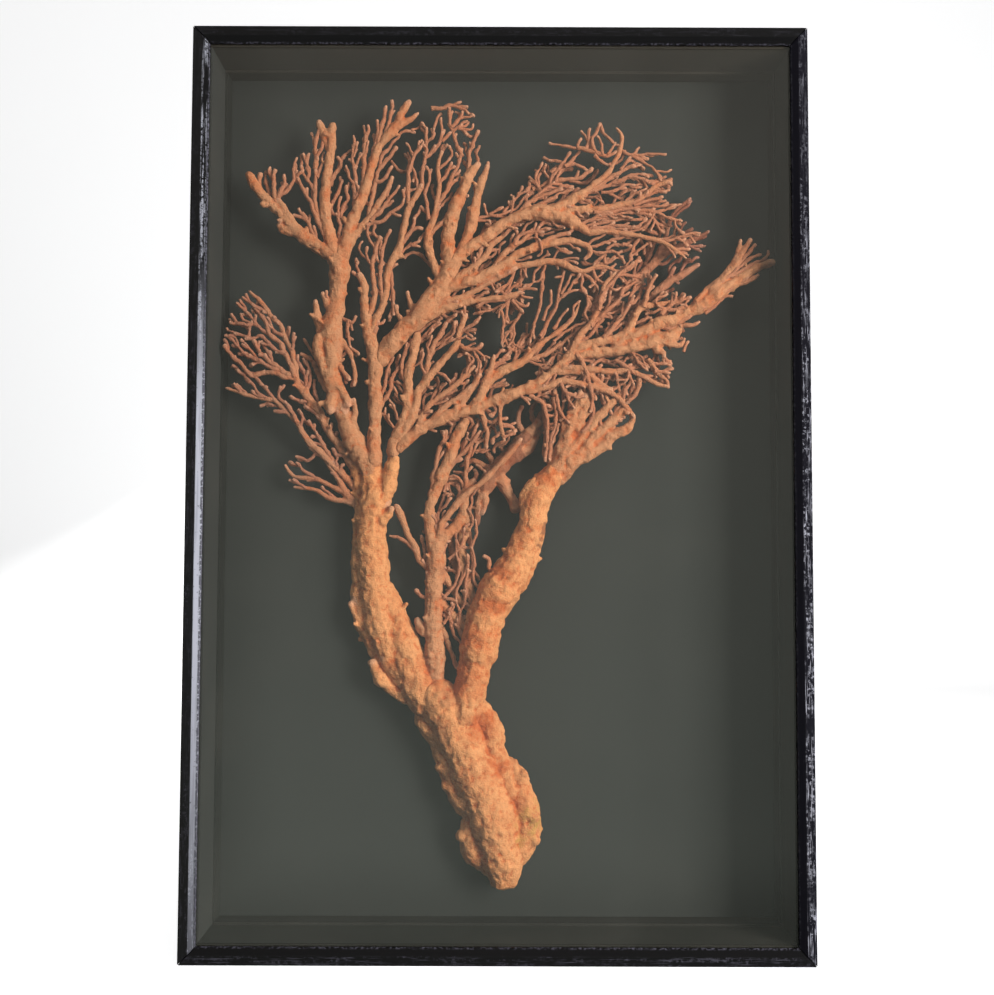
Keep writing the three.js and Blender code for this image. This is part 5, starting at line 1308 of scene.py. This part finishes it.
# Where each layer of twigs may grow: across and height of its corners, in millimetres.
OUTLINES = {name: corners_of(text) for name, text in {
"crown": """
-188 565 -170 570 -160 566 -153 579 -145 582 -139 604 -124 604 -121 578 -112 590 -103 600 -94 607 -92 616 -84 623 -66
622 -52 608 -51 616 -28 621 -20 613 -14 600 -8 574 -6 568 -11 550 -16 535 -25 512 -38 494 -58 462 -86 432 -95 440 -100
400 -106 392 -114 400 -126 395 -136 424 -137 445 -137 472 -128 478 -128 500 -138 505 -152 514 -166 528 -181 546""",
"right": """
-38 494 -25 510 -10 527 2 540 12 552 24 564 31 576 38 590 52 588 60 600 76 606 90 602 98 586 124 583 106 574 110 566
128 563 127 552 114 548 134 543 128 536 138 530 134 522 153 522 138 502 118 511 108 507 104 496 114 488 116 477 136
478 142 470 150 465 140 457 136 446 138 438 126 434 128 418 124 404 112 410 103 404 96 392 84 392 60 398 44 398 30 396
14 396 0 386 -25 380 -52 370 -73 354 -84 352 -88 380 -88 424 -70 445 -52 462""",
"side": """
-100 312 -110 314 -132 322 -152 330 -158 348 -140 362 -160 384 -204 402 -190 412 -204 428 -204 446 -194 470 -184 478
-160 458 -150 445 -140 428 -134 400 -122 385 -108 360""",
"centre": """
-54 232 -58 262 -58 292 -56 330 -52 368 -22 384 8 376 18 366 6 352 -10 336 -20 318 -19 290 -16 262 -20 246 -26 228 -42
206""",
"hanging": """
-42 381 -42 352 -26 346 -4 352 12 356 14 384 30 398 52 400 44 372 36 352 32 372 34 402 0 396""",
"rear": """
-14 360 -6 384 10 400 30 420 12 440 14 490 40 500 60 492 84 484 104 506 118 530 130 542 144 550 144 536 136 524 156
526 154 512 147 500 136 484 118 470 100 456 104 412 98 386 80 368 50 360 34 380 22 366""",
}.items()}
CROWN_TWIGS = TwigLayer(
    ("upper_left_stem", "left_finger", "tall_finger", "crown_finger", "inner_left_limb", "inner_upper_limb"),
    OUTLINES["crown"], 9.0, 2.5, 3.0, 11, longest=34.0, clear=2.0, stout=1.05,
    bare=((-92, -73, 502, 535), (-92, -68, 548, 596), (-160, -146, 532, 556), (-104, -60, 606, 640)))
RIGHT_TWIGS = TwigLayer(
    ("upper_right_fan", "middle_fan", "inner_lower_limb", "lower_right_fan", "far_right_finger"),
    OUTLINES["right"], 5.4, 1.5, 3.4, 12, turn=20.0, clear=1.5, longest=60.0, stout=0.95,
    bare=((18, 62, 440, 492), (54, 72, 512, 526), (96, 120, 470, 500), (28, 100, 554, 640), (60, 120, 480, 522)))
RIGHT_UNDER_TWIGS = TwigLayer(
    ("upper_right_fan", "middle_fan", "lower_right_fan"), OUTLINES["right"], 6.8, 7.0, 3.0, 15, clear=-9.0, flow=0.5,
    bare=((18, 62, 440, 492), (54, 72, 512, 526), (28, 100, 568, 640), (0, 60, 470, 530)))
SIDE_TWIGS = TwigLayer(
    ("left_side_fan", "left_lower_fan", "left_root_fan"), OUTLINES["side"], 8.5, 0.5, 2.0, 13, longest=60.0)
CENTRE_TWIGS = TwigLayer(("centre_limb",), OUTLINES["centre"], 4.8, 1.5, 3.4, 14, longest=45.0)
HANGING_TWIGS = TwigLayer(
    ("lower_right_fan",), OUTLINES["hanging"], 6.6, 3.0, 2.4, 18, turn=65.0, flow=0.0)
REAR_TWIGS = TwigLayer(
    ("rear_right_fan", "rear_limb", "right_plate"), OUTLINES["rear"], 7.6, 2.0, 2.4, 16, clear=-9.0,
    bare=((-4, 30, 350, 384),))


# ---- sea fan ----


@dataclass(frozen=True)
class PartLook:
    """How one part of the fan is finished."""

    nub_pitch: float = 26.0
    voxel: float = 0.95
    finish: str = "front"


BACKWARDS = (0.0, 1.0, 0.0)
PLAN_PITCH = 2.0  # side of a square of the plan, in millimetres
PLAN_LEFT = 232.0  # how far the squares reach to the left
PLAN_SQUARES = (232, 332)


def plan_square(plane: np.ndarray) -> tuple[np.ndarray, np.ndarray]:
    """The square that each point of the flat plan lies in."""
    column, row = ((plane + (PLAN_LEFT, 0.0)) / PLAN_PITCH).astype(int).T
    return column, row


@dataclass
class SeaFan:
    """The dried fan: stout crusted limbs, thinner ribs and the twigs between them."""

    stout: float = 2.35
    ring_pitch: float = 2.2
    fine_pitch: float = 1.6
    low: Triple = (-205.6, -26.5, 14.4)
    high: Triple = (205.6, 24.3, 645.6)
    looks: dict[str, PartLook] = field(default_factory=lambda: {
        "holdfast_trunk": PartLook(150.0, 1.0, "trunk"),
        "left_main_limb": PartLook(45.0, 1.0, "trunk"),
        "right_main_limb": PartLook(150.0, 1.0, "trunk"),
        "rear_limb": PartLook(40.0, 0.9, "side"),
        "rear_right_fan": PartLook(30.0, 0.9, "rear"),
        **dict.fromkeys(("left_side_fan", "left_lower_fan", "left_root_fan"), PartLook(11.0, 0.9, "side")),
    })
    layers: tuple[TwigLayer, ...] = (CROWN_TWIGS, RIGHT_TWIGS, RIGHT_UNDER_TWIGS, SIDE_TWIGS, CENTRE_TWIGS,
                                     HANGING_TWIGS, REAR_TWIGS)

    def __post_init__(self) -> None:
        """Draws the ribs and makes the tools and finishes."""
        self.ribs = [(name, rib.line(self.ring_pitch)) for name, limbs in FAN.items() for rib in limbs]
        self.front = self._foremost([line for _, line in self.ribs])
        self.sweep, self.relief = TwigSweep(), CrustRelief()
        self.finishes = self._finishes()

    @staticmethod
    def _finishes() -> dict[str, Material]:
        """Builds the coral's finishes.

        Returns:
            The materials, by the last word of their names.
        """
        # Painted shade: glow zones round the trunk's forks, in millimetres; stains are real stains on the holdfast.
        glow = ((-44, 0, 200, 22), (-24, 0, 192, 24), (-16, 0, 222, 20), (-6, 0, 246, 20), (4, 0, 268, 16),
                (-62, -2, 236, 16), (-12, -2, 160, 18), (-1, -4, 128, 14), (36, 4, 340, 16))
        stains = ((24, 4, 90, 17), (18, 8, 74, 12))
        # coral_front is darker than the trunk's crust, partly a duller tone of the upper parts and partly painted
        # shade; coral_side and coral_rear are darker again as painted shade on the left fans and the limbs further
        # back.
        made = (
            CoralFinish("coral_trunk", glow=glow, stains=stains),
            CoralFinish("coral_front", crust=(0.43, 0.165, 0.067), sunlit=(0.52, 0.240, 0.118)),
            CoralFinish("coral_side", twig=(0.32, 0.122, 0.072), tip=(0.50, 0.26, 0.16), crust=(0.42, 0.165, 0.078),
                        sunlit=(0.50, 0.235, 0.12)),
            CoralFinish("coral_rear", crust=(0.36, 0.135, 0.070), sunlit=(0.42, 0.18, 0.095), deep=(0.24, 0.07, 0.03),
                        twig=(0.28, 0.10, 0.062), tip=(0.40, 0.20, 0.135)),
        )
        return {finish.name.removeprefix("coral_"): finish.material() for finish in made}

    def build(self) -> list[Object]:
        """Builds every part of the fan.

        Returns:
            The pieces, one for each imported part.
        """
        chart = rib_chart(self.ribs)
        twigs: list[tuple[str, LimbLine]] = []
        for layer in self.layers:
            grown = TwigGrowth(layer, self.ribs, chart).grow()
            LOG.info("twig layer %d: %d twigs", layer.seed, len(grown))
            twigs += grown
        pieces = []
        for name, limbs in FAN.items():
            look = self.looks.get(name, PartLook())
            stout = [rib.line(self.ring_pitch) for rib in limbs if rib.stoutest >= self.stout]
            thin = [rib.line(self.fine_pitch) for rib in limbs if rib.stoutest < self.stout]
            thin += [line for part, line in twigs if part == name]
            makers = ((self._crust, stout), (self._twigs, thin))
            pieces.append(self._joined(name, [make(name, lines, look) for make, lines in makers if lines]))
        return pieces

    @staticmethod
    def _foremost(lines: list[LimbLine]) -> np.ndarray:
        """The front of the fan over each small square of the plan.

        Args:
            lines: the limbs, in the flat plan.

        Returns:
            The least depth near each square, in millimetres.
        """
        front = np.full(PLAN_SQUARES, np.inf)
        for line in lines:
            np.minimum.at(front, plan_square(line.plane), line.depth - line.radius)
        for _ in range(2):
            for axis in (0, 1):
                front = np.minimum(front, np.minimum(np.roll(front, 1, axis), np.roll(front, -1, axis)))
        return front

    def _under(self, line: LimbLine) -> np.ndarray:
        """How far a limb lies behind its neighbours, from 0 to 1; the finishes paint shade with it."""
        return np.clip((line.depth - line.radius - self.front[plan_square(line.plane)] - 1.5) / 9.0, 0.0, 1.0)

    def _crust(self, name: str, lines: list[LimbLine], look: PartLook) -> Object:
        """Builds a part's stout limbs as one crusted skin.

        Args:
            name: the part's name.
            lines: its stout limbs.
            look: how it is finished.

        Returns:
            The skin.
        """
        rng = np.random.default_rng(sum(map(ord, name)))
        points, faces = [], []
        for line in lines:
            middle = in_case(line.plane, line.depth)
            radius = self._swollen(line, rng) * MM
            self._add_tube(points, faces, middle, radius, 14)
            for stub, girth in self._nubs(line, middle, look.nub_pitch, rng):
                self._add_tube(points, faces, stub, girth, 8)
        mesh = bpy.data.meshes.new(name)
        mesh.from_pydata(np.vstack(points).tolist(), [], faces)
        skin = linked(name + "_crust", mesh)
        wrap = skin.modifiers.new("skin", "REMESH")
        wrap.mode = "VOXEL"
        wrap.voxel_size = look.voxel * MM
        settle(skin)
        self._mark(skin.data, lines)
        self.relief.shape(skin, self.finishes[look.finish])
        return skin

    @staticmethod
    def _swollen(line: LimbLine, rng: np.random.Generator) -> np.ndarray:
        """A limb's radii with the swellings of old forks.

        Args:
            line: the limb.
            rng: source of chance.

        Returns:
            The radii, in millimetres.
        """
        along = line.along
        swell = np.ones(len(along))
        place = rng.uniform(2.0, 8.0)
        while place < along[-1]:
            swell += rng.uniform(-0.05, 0.12) * np.exp(-(((along - place) / rng.uniform(3.0, 6.0)) ** 2))
            place += rng.uniform(6.0, 13.0)
        return line.radius * swell

    @staticmethod
    def _nubs(line: LimbLine, middle: np.ndarray, pitch: float, rng: np.random.Generator) -> list:
        """Stubs of broken twigs round a limb.

        Args:
            line: the limb in the flat plan.
            middle: the same line in the case.
            pitch: mean distance between stubs, in millimetres.
            rng: source of chance.

        Returns:
            Each stub's points and radii, in metres.
        """
        stubs = []
        along = line.along
        place = rng.uniform(3.0, pitch)
        while place < along[-1] - 3.0:
            at = int(np.searchsorted(along, place))
            place += rng.uniform(0.6, 1.4) * pitch
            if line.radius[at] < 2.6:
                continue
            run = middle[min(at + 1, len(middle) - 1)] - middle[at - 1]
            run /= np.linalg.norm(run)
            across = np.cross(BACKWARDS, run)
            across /= np.linalg.norm(across)
            angle = rng.choice([0.0, math.pi]) + rng.normal(0.0, 0.55)
            out = across * math.cos(angle) - np.array(BACKWARDS) * abs(math.sin(angle))
            lean = out + run * rng.uniform(0.3, 1.0)
            lean /= np.linalg.norm(lean)
            girth = rng.uniform(1.1, 1.9) * MM
            start = middle[at] + out * (line.radius[at] * 0.6) * MM
            length = line.radius[at] * 0.4 * MM + rng.uniform(1.6, 4.6) * MM
            stub = start + lean * (np.linspace(0.0, 1.0, 4)[:, None] * length)
            stubs.append((stub, np.array([1.25, 1.0, 0.95, 0.8]) * girth))
        return stubs

    @staticmethod
    def _add_tube(points: list, faces: list, middle: np.ndarray, radius: np.ndarray, sides: int) -> None:
        """Adds a closed tube with rounded ends.

        Args:
            points: the mesh's points so far.
            faces: its faces so far.
            middle: the tube's middle line, in metres.
            radius: its radius at each point of the line.
            sides: how many sides it has.
        """
        first = sum(len(block) for block in points)
        run = np.gradient(middle, axis=0)
        run /= np.linalg.norm(run, axis=1, keepdims=True)
        head, tail = ([(middle[end] + way * run[end] * radius[end] * on * 0.8, run[end],
                        radius[end] * math.sqrt(1 - on * on) + 1e-5) for on in (0.98, 0.87, 0.64)]
                      for end, way in ((0, -1), (-1, 1)))
        rings = head + list(zip(middle, run, radius)) + tail[::-1]
        angle = np.arange(sides) / sides * 2 * math.pi
        block = []
        for centre, along, reach in rings:
            across = np.cross(BACKWARDS, along)
            across /= np.linalg.norm(across)
            upright = np.cross(along, across)
            block.append(centre + reach * (np.cos(angle)[:, None] * across + np.sin(angle)[:, None] * upright))
        points.append(np.vstack(block))
        for ring in range(len(rings) - 1):
            for side in range(sides):
                here, there = first + ring * sides + side, first + ring * sides + (side + 1) % sides
                faces.append((here, there, there + sides, here + sides))
        last = first + (len(rings) - 1) * sides
        faces.append(tuple(first + side for side in reversed(range(sides))))
        faces.append(tuple(last + side for side in range(sides)))

    def _mark(self, mesh: Mesh, lines: list[LimbLine]) -> None:
        """Notes on each point of a skin which limb it belongs to and how it lies on it.

        Args:
            mesh: the skin.
            lines: the limbs under it.
        """
        middle = np.vstack([in_case(line.plane, line.depth) for line in lines])
        radius = np.concatenate([line.radius for line in lines])
        along = np.concatenate([line.along + 90.0 * i for i, line in enumerate(lines)])
        reach = np.concatenate([np.clip(1.0 - (line.along[-1] - line.along) / 9.0, 0.0, 1.0)
                                * (line.radius[-1] < 2.7) for line in lines])
        tree = KDTree(len(middle))
        for index, centre in enumerate(middle):
            tree.insert(Vector(centre), index)
        tree.balance()
        places = places_of(mesh)
        nearest = np.array([tree.find(Vector(place))[1] for place in places])
        store(mesh, "radial", places - middle[nearest])
        store(mesh, "along", along[nearest] * MM)
        store(mesh, "girth", radius[nearest] * MM)
        store(mesh, "reach", reach[nearest])
        store(mesh, "under", np.concatenate([self._under(line) for line in lines])[nearest])
        store(mesh, "fine", np.clip((3.0 - radius[nearest]) / 2.4, 0.0, 0.45))

    def _twigs(self, name: str, lines: list[LimbLine], look: PartLook) -> Object:
        """Builds a part's ribs and twigs.

        Args:
            name: the part's name.
            lines: the middle lines.
            look: how the part is finished.

        Returns:
            The twigs.
        """
        points, edges, girth, along, reach = [], [], [], [], []
        start = 0
        for line in lines:
            run = line.along
            points.append(in_case(line.plane, line.depth))
            edges += [(start + i, start + i + 1) for i in range(len(run) - 1)]
            start += len(run)
            left = run[-1] - run
            girth.append(line.radius * np.where(left < 0.1, 0.85, np.where(left < 2.6, 1.14, 1.0)))
            along.append(run)
            reach.append(np.clip(1.0 - left / 9.0, 0.0, 1.0))
        mesh = bpy.data.meshes.new(name)
        mesh.from_pydata(np.vstack(points).tolist(), edges, [])
        radius = np.concatenate(girth)
        store(mesh, "girth", radius * MM)
        store(mesh, "along", np.concatenate(along) * MM)
        store(mesh, "reach", np.concatenate(reach))
        store(mesh, "fine", np.clip((2.5 - radius) / 1.0, 0.0, 1.0))
        store(mesh, "hollow", np.zeros(len(radius)))
        store(mesh, "under", np.concatenate([self._under(line) for line in lines]))
        twigs = linked(name + "_twigs", mesh)
        self.sweep.shape(twigs, self.finishes[look.finish])
        return twigs

    def _joined(self, name: str, shells: list[Object]) -> Object:
        """Joins a part's skins into one piece and keeps it inside the case.

        Args:
            name: the part's name.
            shells: its skins.

        Returns:
            The piece.
        """
        piece = shells[0]
        if len(shells) > 1:
            with bpy.context.temp_override(active_object=piece, selected_editable_objects=shells,
                                           object=piece, selected_objects=shells):
                bpy.ops.object.join()
        piece.name = piece.data.name = "coral_" + name
        places = np.clip(places_of(piece.data), np.array(self.low) * MM, np.array(self.high) * MM)
        piece.data.vertices.foreach_set("co", places.ravel())
        piece.data.update()
        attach(piece, BODY)
        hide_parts(name)
        LOG.info("%s: %d faces", piece.name, len(piece.data.polygons))
        return piece


# ---- shadow box ----


@dataclass
class ShadowBox:
    """The glazed case: lacquered rails, glass, lining boards, fillets and back board."""

    rail_round: float = 0.55
    board_round: float = 0.25

    def build(self) -> list[Object]:
        """Builds and dresses the case.

        Returns:
            Its new pieces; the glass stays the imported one.
        """
        lacquers = (
            # The left rail gets the painted reflection of light down its bevel.
            LacquerFinish("lacquer_left", Streak.UPRIGHT, wear=0.9, scored=0.2, level=0.26, bevel_reflection=1.0),
            LacquerFinish("lacquer_right", Streak.UPRIGHT, tint=(0.0035, 0.003, 0.006), wear=0.1,
                          scuff=(0.27, 0.27, 0.31), scored=1.0, level=0.26),
            LacquerFinish("lacquer_top", Streak.ACROSS, level=0.18),
            LacquerFinish("lacquer_bottom", Streak.ACROSS, level=0.18),
        )
        # Painted light and shade: the left and top boards are tinted lighter and the right and bottom ones darker; the
        # fillets are tinted darker than the liners.
        lit_and_shaded_tints = {
            "liner": {"left": (0.034, 0.034, 0.031), "right": (0.012, 0.011, 0.010),
                      "top": (0.045, 0.037, 0.027), "bottom": (0.016, 0.015, 0.012)},
            "fillet": {"left": (0.014, 0.014, 0.012), "right": (0.010, 0.009, 0.008),
                       "top": (0.028, 0.022, 0.016), "bottom": (0.014, 0.012, 0.010)},
        }
        pieces = [self._eased(lacquer.name.removeprefix("lacquer_") + "_rail", self.rail_round, 3,
                              lacquer.material(), "lacquered_wood") for lacquer in lacquers]
        for kind, sides in lit_and_shaded_tints.items():
            for side, tint in sides.items():
                paint = BoardPaint(f"{kind}_{side}", tint).material()
                pieces.append(self._eased(f"{side}_{kind}", self.board_round, 2, paint, kind + "_paint"))
        panel = BoardPaint("panel", (0.026, 0.027, 0.024), dusty=0.16, specks=0.40).material()
        pieces.append(self._eased("back_board", self.board_round, 2, panel, "board_paint"))
        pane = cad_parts["glass_pane"]
        pane.data.materials.clear()
        pane.data.materials.append(ClearGlass("window_glass").material())
        return pieces

    @staticmethod
    def _eased(name: str, round_mm: float, segments: int, finish: Material, slot: str) -> Object:
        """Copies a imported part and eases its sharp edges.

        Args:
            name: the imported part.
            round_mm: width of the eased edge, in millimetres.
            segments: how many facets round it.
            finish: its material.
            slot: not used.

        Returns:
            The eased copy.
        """
        shape = bmesh.new()
        shape.from_mesh(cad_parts[name].data)
        bmesh.ops.remove_doubles(shape, verts=shape.verts, dist=1e-6)
        bmesh.ops.dissolve_limit(shape, angle_limit=math.radians(1.0), verts=shape.verts, edges=shape.edges)
        sharp = [edge for edge in shape.edges if edge.is_manifold and edge.calc_face_angle(0.0) > math.radians(20.0)]
        bmesh.ops.bevel(shape, geom=sharp, offset=round_mm * MM, segments=segments, profile=0.5,
                        affect="EDGES", clamp_overlap=True)
        mesh = bpy.data.meshes.new(name)
        shape.to_mesh(mesh)
        shape.free()
        mesh.materials.append(finish)
        piece = linked("case_" + name, mesh)
        mesh.shade_smooth()
        weighted = piece.modifiers.new("even shading", "WEIGHTED_NORMAL")
        weighted.keep_sharp = True
        settle(piece)
        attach(piece, BODY)
        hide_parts(name)
        LOG.info("%s: %d faces", piece.name, len(piece.data.polygons))
        return piece


# ---- studio ----


@dataclass
class Studio:
    """Pale floor and wall, soft lights, what the glass mirrors, and the camera."""

    eye: Triple = (-0.00152, -0.7698, 0.2873)
    pitch: float = 2.725
    yaw: float = -0.02
    roll: float = 0.19
    lens: float = 38.03
    room: Triple = (2.2, -2.6, 0.6)

    def build(self) -> None:
        """Sets the whole studio."""
        self._sweep_wall()
        self._mirrored_wall()
        self._lights()
        self._camera()

    def _sweep_wall(self) -> None:
        """Floor that curves up into a wall behind the case."""
        profile = [(-3.0, 0.0), (1.4, 0.0)]
        profile += [(1.4 + 0.6 * math.sin(a), 0.6 - 0.6 * math.cos(a)) for a in np.linspace(0.1, math.pi / 2, 12)]
        profile.append((2.0, 3.6))
        points = [(x, y, z - 0.0002) for y, z in profile for x in (-4.0, 4.0)]
        faces = [(2 * i, 2 * i + 1, 2 * i + 3, 2 * i + 2) for i in range(len(profile) - 1)]
        mesh = bpy.data.meshes.new("floor")
        mesh.from_pydata(points, [], faces)
        bench = SurfaceBench("floor_paper")
        cloud = bench.noise(bench.place, 0.4, 2.0, 0.5)
        colour = bench.mixed(cloud, (0.90, 0.90, 0.90), (0.93, 0.93, 0.93))
        paper = bench.coat(colour, 0.9, None, Specular_IOR_Level=0.1, Emission_Strength=0.62,
                           Emission_Color=(1.0, 1.0, 1.0, 1.0))
        mesh.materials.append(paper)
        mesh.shade_smooth()
        floor = linked("floor", mesh)
        floor.visible_glossy = floor.visible_diffuse = False

    def _mirrored_wall(self) -> None:
        """Dim room wall behind the camera, seen only as a reflection in the glass."""
        mesh = bpy.data.meshes.new("room_wall")
        half, back, middle = self.room
        corners = ((-half, -half), (half, -half), (half, half), (-half, half))
        mesh.from_pydata([(x, back, middle + z) for x, z in corners], [], [(0, 3, 2, 1)])
        bench = SurfaceBench("room_wall")
        cloud = bench.noise(bench.place, 0.9, 2.0, 0.5)
        side = bench.x.between(0.36, 0.52)
        margin = (bench.x.between(-0.64, -0.90) * 0.30).most(bench.z.between(-0.62, -0.90) * 0.34)
        height = bench.z.between(-0.9, 1.9)
        level = (0.62 + height * 0.14 + (cloud - 0.5) * 0.10 - bench.x.between(-0.9, 0.4) * 0.06) * (1.0 - side * 0.16)
        level = level * (1.0 - bench.x.between(0.5, 1.1) * 0.10) * (1.0 - margin)
        level = level * (1.0 - bench.distance(bench.place, (-0.5, back, 1.2)).between(1.9, 0.2) * 0.45)
        colour = bench.mixed(height, (0.92, 1.0, 0.88), (1.0, 0.98, 0.86))
        shade = bench.add("ShaderNodeCombineColor", None, {0: level, 1: level, 2: level}).outputs[0]
        glow = bench.add("ShaderNodeEmission", None, {"Color": bench.mixed(1.0, colour, shade, "MULTIPLY")})
        bench.feed(bench.output.inputs["Surface"], glow.outputs[0])
        mesh.materials.append(bench.material)
        wall = linked("room_wall", mesh)
        wall.visible_camera = wall.visible_diffuse = wall.visible_shadow = wall.visible_transmission = False

    def _lights(self) -> None:
        """Large soft key from the front right, weaker ones from the left, top and rear, and a dim sky."""
        self._panel("key", (1.15, -1.10, 0.38), 0.34, (0.6, 1.4), 68.0)
        self._panel("fill", (-1.3, -1.5, 0.9), 0.34, (1.0, 1.2), 3.0)
        self._panel("rear", (-0.9, 1.7, 1.1), 0.33, (1.0, 1.0), 24.0)
        self._panel("top", (0.1, -1.3, 1.9), 0.35, (1.4, 0.8), 10.0)
        world = bpy.data.worlds.new("sky")
        world.use_nodes = True
        bench = NodeBench(world.node_tree)
        bench.tree.nodes.clear()
        seen = bench.signal("ShaderNodeLightPath", "Is Camera Ray")
        dim = bench.add("ShaderNodeBackground", None, {"Color": (0.93, 0.96, 1.0, 1.0), "Strength": 0.06})
        white = bench.add("ShaderNodeBackground", None, {"Color": (1.0, 1.0, 1.0, 1.0), "Strength": 1.0})
        mix = bench.add("ShaderNodeMixShader", None, {0: seen, 1: dim.outputs[0], 2: white.outputs[0]})
        bench.add("ShaderNodeOutputWorld", None, {"Surface": mix.outputs[0]})
        bpy.context.scene.world = world
        bpy.context.scene.view_settings.view_transform = "Standard"

    @staticmethod
    def _panel(name: str, place: Sequence[float], aim: float, size: Sequence[float], power: float) -> None:
        """Adds a soft rectangular light that points at the case.

        Args:
            name: its name.
            place: where it hangs.
            aim: the height on the case that it points at.
            size: its width and height.
            power: its power, in watts.
        """
        lamp = bpy.data.lights.new(name, "AREA")
        lamp.shape = "RECTANGLE"
        lamp.size, lamp.size_y = size
        lamp.energy = power
        thing = bpy.data.objects.new(name, lamp)
        thing.location = place
        thing.rotation_euler = (Vector((0.0, 0.0, aim)) - Vector(place)).to_track_quat("-Z", "Y").to_euler()
        thing.visible_glossy = False
        bpy.context.scene.collection.objects.link(thing)

    def _camera(self) -> None:
        """Camera a little below the middle of the case, looking slightly up."""
        camera = bpy.data.cameras.new("camera")
        camera.lens = self.lens
        camera.sensor_width = 36.0
        camera.clip_start = 0.01
        thing = bpy.data.objects.new("camera", camera)
        pitch, yaw, roll = (math.radians(angle) for angle in (self.pitch, self.yaw, self.roll))
        forward = Vector((-math.sin(yaw) * math.cos(pitch), math.cos(yaw) * math.cos(pitch), math.sin(pitch)))
        facing = forward.to_track_quat("-Z", "Y")
        thing.rotation_euler = (facing @ Quaternion((0.0, 0.0, 1.0), roll)).to_euler()
        thing.location = self.eye
        bpy.context.scene.collection.objects.link(thing)
        bpy.context.scene.camera = thing


def main() -> None:
    """Builds the case, the fan and the studio, and notes their sizes."""
    logging.basicConfig(level=logging.INFO, format="%(name)s: %(message)s")
    pieces = ShadowBox().build()
    pieces += SeaFan().build()
    Studio().build()
    bpy.context.view_layer.update()
    LOG.info("%d pieces, %d faces", len(pieces), sum(len(piece.data.polygons) for piece in pieces))


if __name__ == "__main__":
    main()
